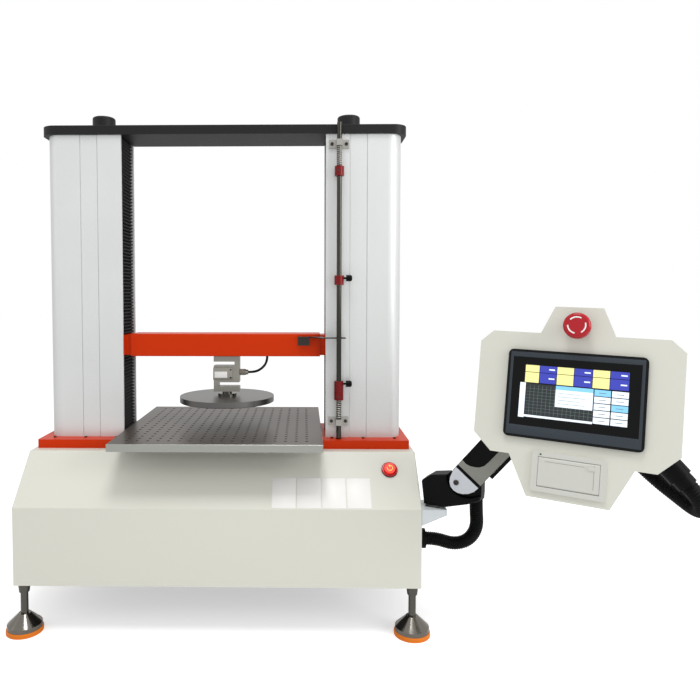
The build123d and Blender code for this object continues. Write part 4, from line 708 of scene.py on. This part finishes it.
for name, height in (("upper_seat_screw", 891.5), ("lower_seat_screw", 436)):
    screws(name, "limit_rod", 2.0, 0.9, [at(ROD[0] - 2, SEAT_FRONT, height) @ faces_front])
COVER_BACK = 184.5
cover_places = [at(x, COVER_BACK, z) @ faces_rear for x in (-306, 0, 306) for z in (118, 308)]
screws("service_cover_screws", "frame", 3.2, 1.8, cover_places)

# %% [markdown]
# The load cell is an S-shaped block with a strain-gauge cover on its front. The cover is a shallow box with
# two screws and a bare plate where the rating would be printed.
# %% load cell cover
cover = block((41, 3, 26), (-7.5, -14, 476.5), edge=0.5)
hand_over(cover, "cell_cover", "crosshead", "cell_alloy")
plate_on_cover = block((27, 0.5, 13), (-11.5, -15.7, 474.5), edge=0.15)
hand_over(plate_on_cover, "cell_plate", "crosshead", "cell_alloy", "white_print")
COVER_FRONT = -15.5
cell_places = [at(9.5, COVER_FRONT, z) @ faces_front for z in (468, 485)]
screws("cell_screws", "crosshead", 1.9, 1.1, cell_places, "cell_alloy")
ring = turned([(0, 0), (6.4, 0), (6.4, 2), (5.2, 2.4), (5.2, 6), (0, 6)], 32)
gland_place = at(38.5, 0, 478.5) @ Matrix.Rotation(pi / 2, 4, "Y")
hand_over(ring, "cell_gland_ring", "crosshead", "cell_alloy", place=gland_place)
print("cell cover", [round(side / mm, 1) for side in cover.dimensions], "mm")

# %% [markdown]
# Four thin plates sit on the slope beside the power button. They are left bare and only break the light.
# The power button is a lit red cap inside a red ring.
# %% slope
PLATE_PITCH = 47.4
PLATE_SIZE = (45.0, 61.0, 0.3)
PLATES_FROM, PLATES_MIDDLE = 126.7, 33.2
plate_middles = [(PLATES_FROM + PLATE_PITCH * i, PLATES_MIDDLE, PLATE_SIZE[2] / 2) for i in range(4)]
bare_plates = [block(PLATE_SIZE, middle, edge=0.1) for middle in plate_middles]
hand_over(joined(bare_plates), "bare_plates", "frame", "cream_paint", "white_print", place=slope)
switch_at = slope @ at(331, 81.6)
RING_OUTLINE = [(11.3, 3.0), (11.3, 3.6), (12.4, 4.6), (14.4, 4.3), (15.4, 3.2), (15.4, 3.02), (11.3, 3.0)]
switch_ring = turned(RING_OUTLINE)
hand_over(switch_ring, "switch_ring", "frame", "red_plastic", place=switch_at)
nodes["power_button"].data.materials[0] = finishes["lit_red"]


def arc_bar(inner, outer, height, start, sweep, low=0.0, steps=20):
    nothing_selected()
    bpy.ops.mesh.primitive_plane_add(size=1, rotation=(pi / 2, 0, 0))
    piece = bpy.context.active_object
    piece.scale = ((outer - inner) * mm, height * mm, 1)
    piece.location = ((inner + outer) / 2 * mm, 0, (low + height / 2) * mm)
    put_down(piece)
    put_down(piece, Matrix.Rotation(start, 4, "Z"))
    bpy.ops.object.mode_set(mode="EDIT")
    bpy.ops.mesh.select_all(action="SELECT")
    bpy.ops.mesh.spin(steps=steps, angle=sweep, center=(0, 0, 0), axis=(0, 0, 1))
    bpy.ops.mesh.select_all(action="SELECT")
    bpy.ops.mesh.normals_make_consistent(inside=False)
    bpy.ops.object.mode_set(mode="OBJECT")
    return piece


power_circle = arc_bar(4.6, 6.0, 0.3, radians(115), radians(310), 9.0)
power_line = block((1.4, 6.0, 0.3), (0, 4.2, 9.15), 0.05)
mark = joined([power_circle, power_line])
hand_over(mark, "power_mark", "power_cap", "red_plastic", "lit_amber", place=switch_at)
print(len(bare_plates), "bare plates and a power mark of", len(mark.data.polygons), "faces")

# %% [markdown]
# The touch panel has a slate frame inside its black rim and a picture behind the glass. The picture is a
# table of coloured fields, a dark graph and rows of pale keys, each laid on as a thin lit tile. No words.
# %% touch panel
PANEL_MIDDLE = (0.0, -110.3)
GLASS_MIDDLE = (0.0, -106.7)


def frame_plate(outer, hole, hole_middle, thickness, low, edge):
    width, height = outer
    piece = block((width, height, thickness), (*PANEL_MIDDLE, low + thickness / 2), edge=0)
    cutter = block((*hole, 4 * thickness), (*hole_middle, low + thickness / 2), edge=0)
    run_modifier(piece, "BOOLEAN", object=cutter, operation="DIFFERENCE", solver="EXACT")
    bpy.data.objects.remove(cutter)
    run_modifier(piece, "BEVEL", width=edge * mm, segments=2, limit_method="ANGLE", angle_limit=radians(40))
    return piece


slate = frame_plate((191, 131.5), (182.5, 108.5), GLASS_MIDDLE, 1.0, 6.0, edge=0.5)
hand_over(slate, "panel_slate", "pendant", "panel_plastic", "slate_plastic", place=pendant)

PICTURE_WIDTH, PICTURE_HEIGHT = 154.0, 86.0
PICTURE_LEFT, PICTURE_TOP = -78.5, -62.2
GLASS_FACE = 6.02


def tile(left, top, right, bottom, lift=0.0):
    x0, x1 = PICTURE_LEFT + left * PICTURE_WIDTH, PICTURE_LEFT + right * PICTURE_WIDTH
    y0, y1 = PICTURE_TOP - top * PICTURE_HEIGHT, PICTURE_TOP - bottom * PICTURE_HEIGHT
    return block((x1 - x0, y0 - y1, 0.06), ((x0 + x1) / 2, (y0 + y1) / 2, GLASS_FACE + 0.03 + lift), edge=0)


# %% the picture's colours
PICTURE_COLOURS = {
    "yellow": ((232, 228, 150), 0.4), "blue": ((52, 60, 168), 0.4), "pale": ((226, 236, 246), 0.4),
    "sky": ((128, 196, 240), 0.4), "graph": ((34, 42, 44), 0.1), "lines": ((104, 118, 116), 0.2),
}
for name, (colour, glow) in PICTURE_COLOURS.items():
    finishes["lit_" + name] = make_finish(
        "lit_" + name, colour, 0.12, glow=glow, mottle=0.01, spread=0.02, relief=0.0)
tiles = {name: [] for name in PICTURE_COLOURS}
print("colours in the picture:", *tiles)

# %% the head row, the graph and the keys, in shares of the picture's width and height
HEAD_CELLS = [(0.04, 0.18, "yellow"), (0.18, 0.345, "blue"), (0.345, 0.505, "yellow"), (0.505, 0.675, "blue"),
              (0.675, 0.83, "yellow"), (0.83, 1.0, "blue")]
HEAD_ROWS = ((0.03, 0.155), (0.165, 0.35))
GRAPH_COLUMNS, GRAPH_ROWS = 16, 9
KEY_ROWS, KEY_PITCH, KEY_HEIGHT = 5, 0.122, 0.108
KEY_COLUMNS = ((0.70, 0.845), (0.855, 1.0))
BRIGHT_KEYS = ((0, 0), (2, 1))
LIST_LINES, LIST_PITCH = 4, 0.062
for left, right, colour in HEAD_CELLS:
    for top, bottom in HEAD_ROWS:
        tiles[colour].append(tile(left + 0.003, top, right - 0.003, bottom))
        if colour == "blue":
            middle = (top + bottom) / 2
            tiles["pale"].append(tile(right - 0.075, middle - 0.012, right - 0.02, middle + 0.012, 0.06))
tiles["pale"] += [tile(0.0, 0.36, 0.055, 1.0), tile(0.055, 0.945, 0.695, 0.985)]
tiles["graph"].append(tile(0.06, 0.37, 0.695, 0.935))
for i in range(1, GRAPH_COLUMNS):
    x = 0.06 + 0.635 * i / GRAPH_COLUMNS
    tiles["lines"].append(tile(x - 0.0012, 0.40, x + 0.0012, 0.93, 0.06))
for i in range(1, GRAPH_ROWS):
    y = 0.40 + 0.53 * i / GRAPH_ROWS
    tiles["lines"].append(tile(0.065, y - 0.002, 0.69, y + 0.002, 0.06))
tiles["pale"].append(tile(0.345, 0.44, 0.69, 0.75, 0.12))
tiles["sky"].append(tile(0.345, 0.37, 0.69, 0.44, 0.12))
for i in range(LIST_LINES):
    top = 0.50 + i * LIST_PITCH
    tiles["lines"].append(tile(0.37, top, 0.37 + 0.05 * (4 + i % 2), top + 0.006, 0.18))
for row in range(KEY_ROWS):
    top = 0.375 + row * KEY_PITCH
    for column, (left, right) in enumerate(KEY_COLUMNS):
        colour = "sky" if (row, column) in BRIGHT_KEYS else "pale"
        tiles[colour].append(tile(left, top, right, top + KEY_HEIGHT))
        tiles["lines"].append(tile(left + 0.04, top + 0.05, right - 0.04, top + 0.06, 0.06))
print("picture of", sum(len(made) for made in tiles.values()), "tiles")
for name, made in tiles.items():
    hand_over(joined(made), "picture_" + name, "pendant", "screen_glass", "lit_" + name, place=pendant)

# %% [markdown]
# The emergency stop carries three white arcs that say which way to turn it. The printer's door has two
# moulded grooves, drawn as thin strips of painted groove shadow, and a small green lamp sits beside it.
# %% stop button and printer
arcs = [arc_bar(11.6, 13.6, 0.35, radians(start), radians(78), 27.9) for start in (20, 140, 260)]
hand_over(joined(arcs), "stop_arcs", "estop_cap", "red_plastic", "white_print", place=pendant)
# thin strips of painted shadow where the door's moulded grooves are
door_groove_shadow = [block((56, 0.7, 0.12), (-6, -212.5, 4.36), 0), block((0.7, 36, 0.12), (35.5, -227, 4.36), 0)]
hand_over(joined(door_groove_shadow), "door_groove_shadow", "door", "printer_plastic", "groove_shadow", place=pendant)
lamp = turned([(0, 0.9), (1.0, 0.8), (1.5, 0.2), (1.5, 0), (0, 0)], 24)
lamp_place = pendant @ at(-41, -202.2, 4.0)
hand_over(lamp, "printer_lamp", "pendant", "printer_plastic", "lamp_green", place=lamp_place)
print(len(arcs), "arcs on the stop button and a lamp of", len(lamp.data.polygons), "faces")

# %% [markdown]
# The arm's link wears two moulded side shells. Each has a silver end over the knuckle, a black gap, a grey
# panel and a black upper field, so each is a thin plate cut to its outline and laid on the link's side.
# %% arm shells
SIDE = 23.0
NOSE_THICKNESS = 1.6
NOSE = [(3.5, 26.4), (-8, 24.8), (-19, 21.6), (-27, 16.5), (-32, 9.5), (-33.4, 1.5), (-31.4, -6),
        (-26, -14.5), (-17.5, -21.5), (-8, -25.6), (3.5, -26.8)]
FIELD_LOW = [(21.9, 26.6), (21.2, 17), (23.2, 10), (27.5, 3), (34, -4), (42.8, -8.3), (56, -9.2)]
FIELD_HIGH = [(link_length - x, y) for x, y in reversed(FIELD_LOW)]
FIELD = FIELD_LOW + FIELD_HIGH
FAR_END = [(link_length + 27 * sin(radians(turn)), 26.6 * cos(radians(turn))) for turn in range(0, 181, 15)]
SHELL = [(9.5, 26.6)] + FIELD + FAR_END + [(9.5, -26.6)]


def both_sides(outline, thickness, edge):
    near = plate(outline, thickness, SIDE, edge)
    other = plate(outline, thickness, -SIDE - thickness, edge)
    return joined([near, other])


hand_over(both_sides(NOSE, NOSE_THICKNESS, 0.6), "arm_nose", "link", "arm_shell", "arm_silver", place=link)
hand_over(both_sides(SHELL, 1.2, 0.5), "arm_side_shell", "link", "arm_shell", place=link)
hand_over(both_sides(FIELD, 0.5, 0.2), "arm_side_field", "link", "black_plastic", place=link)
nodes["arm_link"].data.materials[0] = finishes["black_plastic"]
pivot_screw = turned([(0, 0.9), (2.2, 0.9), (2.4, 1.9), (4.4, 1.9), (4.9, 1.5), (4.9, 0), (0, 0)], 30)
screw_place = link @ at(-18.3, 7.4, SIDE + NOSE_THICKNESS)
hand_over(pivot_screw, "arm_screw", "link", "bright_steel", "dark_steel", place=screw_place)
print("the side shell's outline has", len(SHELL), "points")
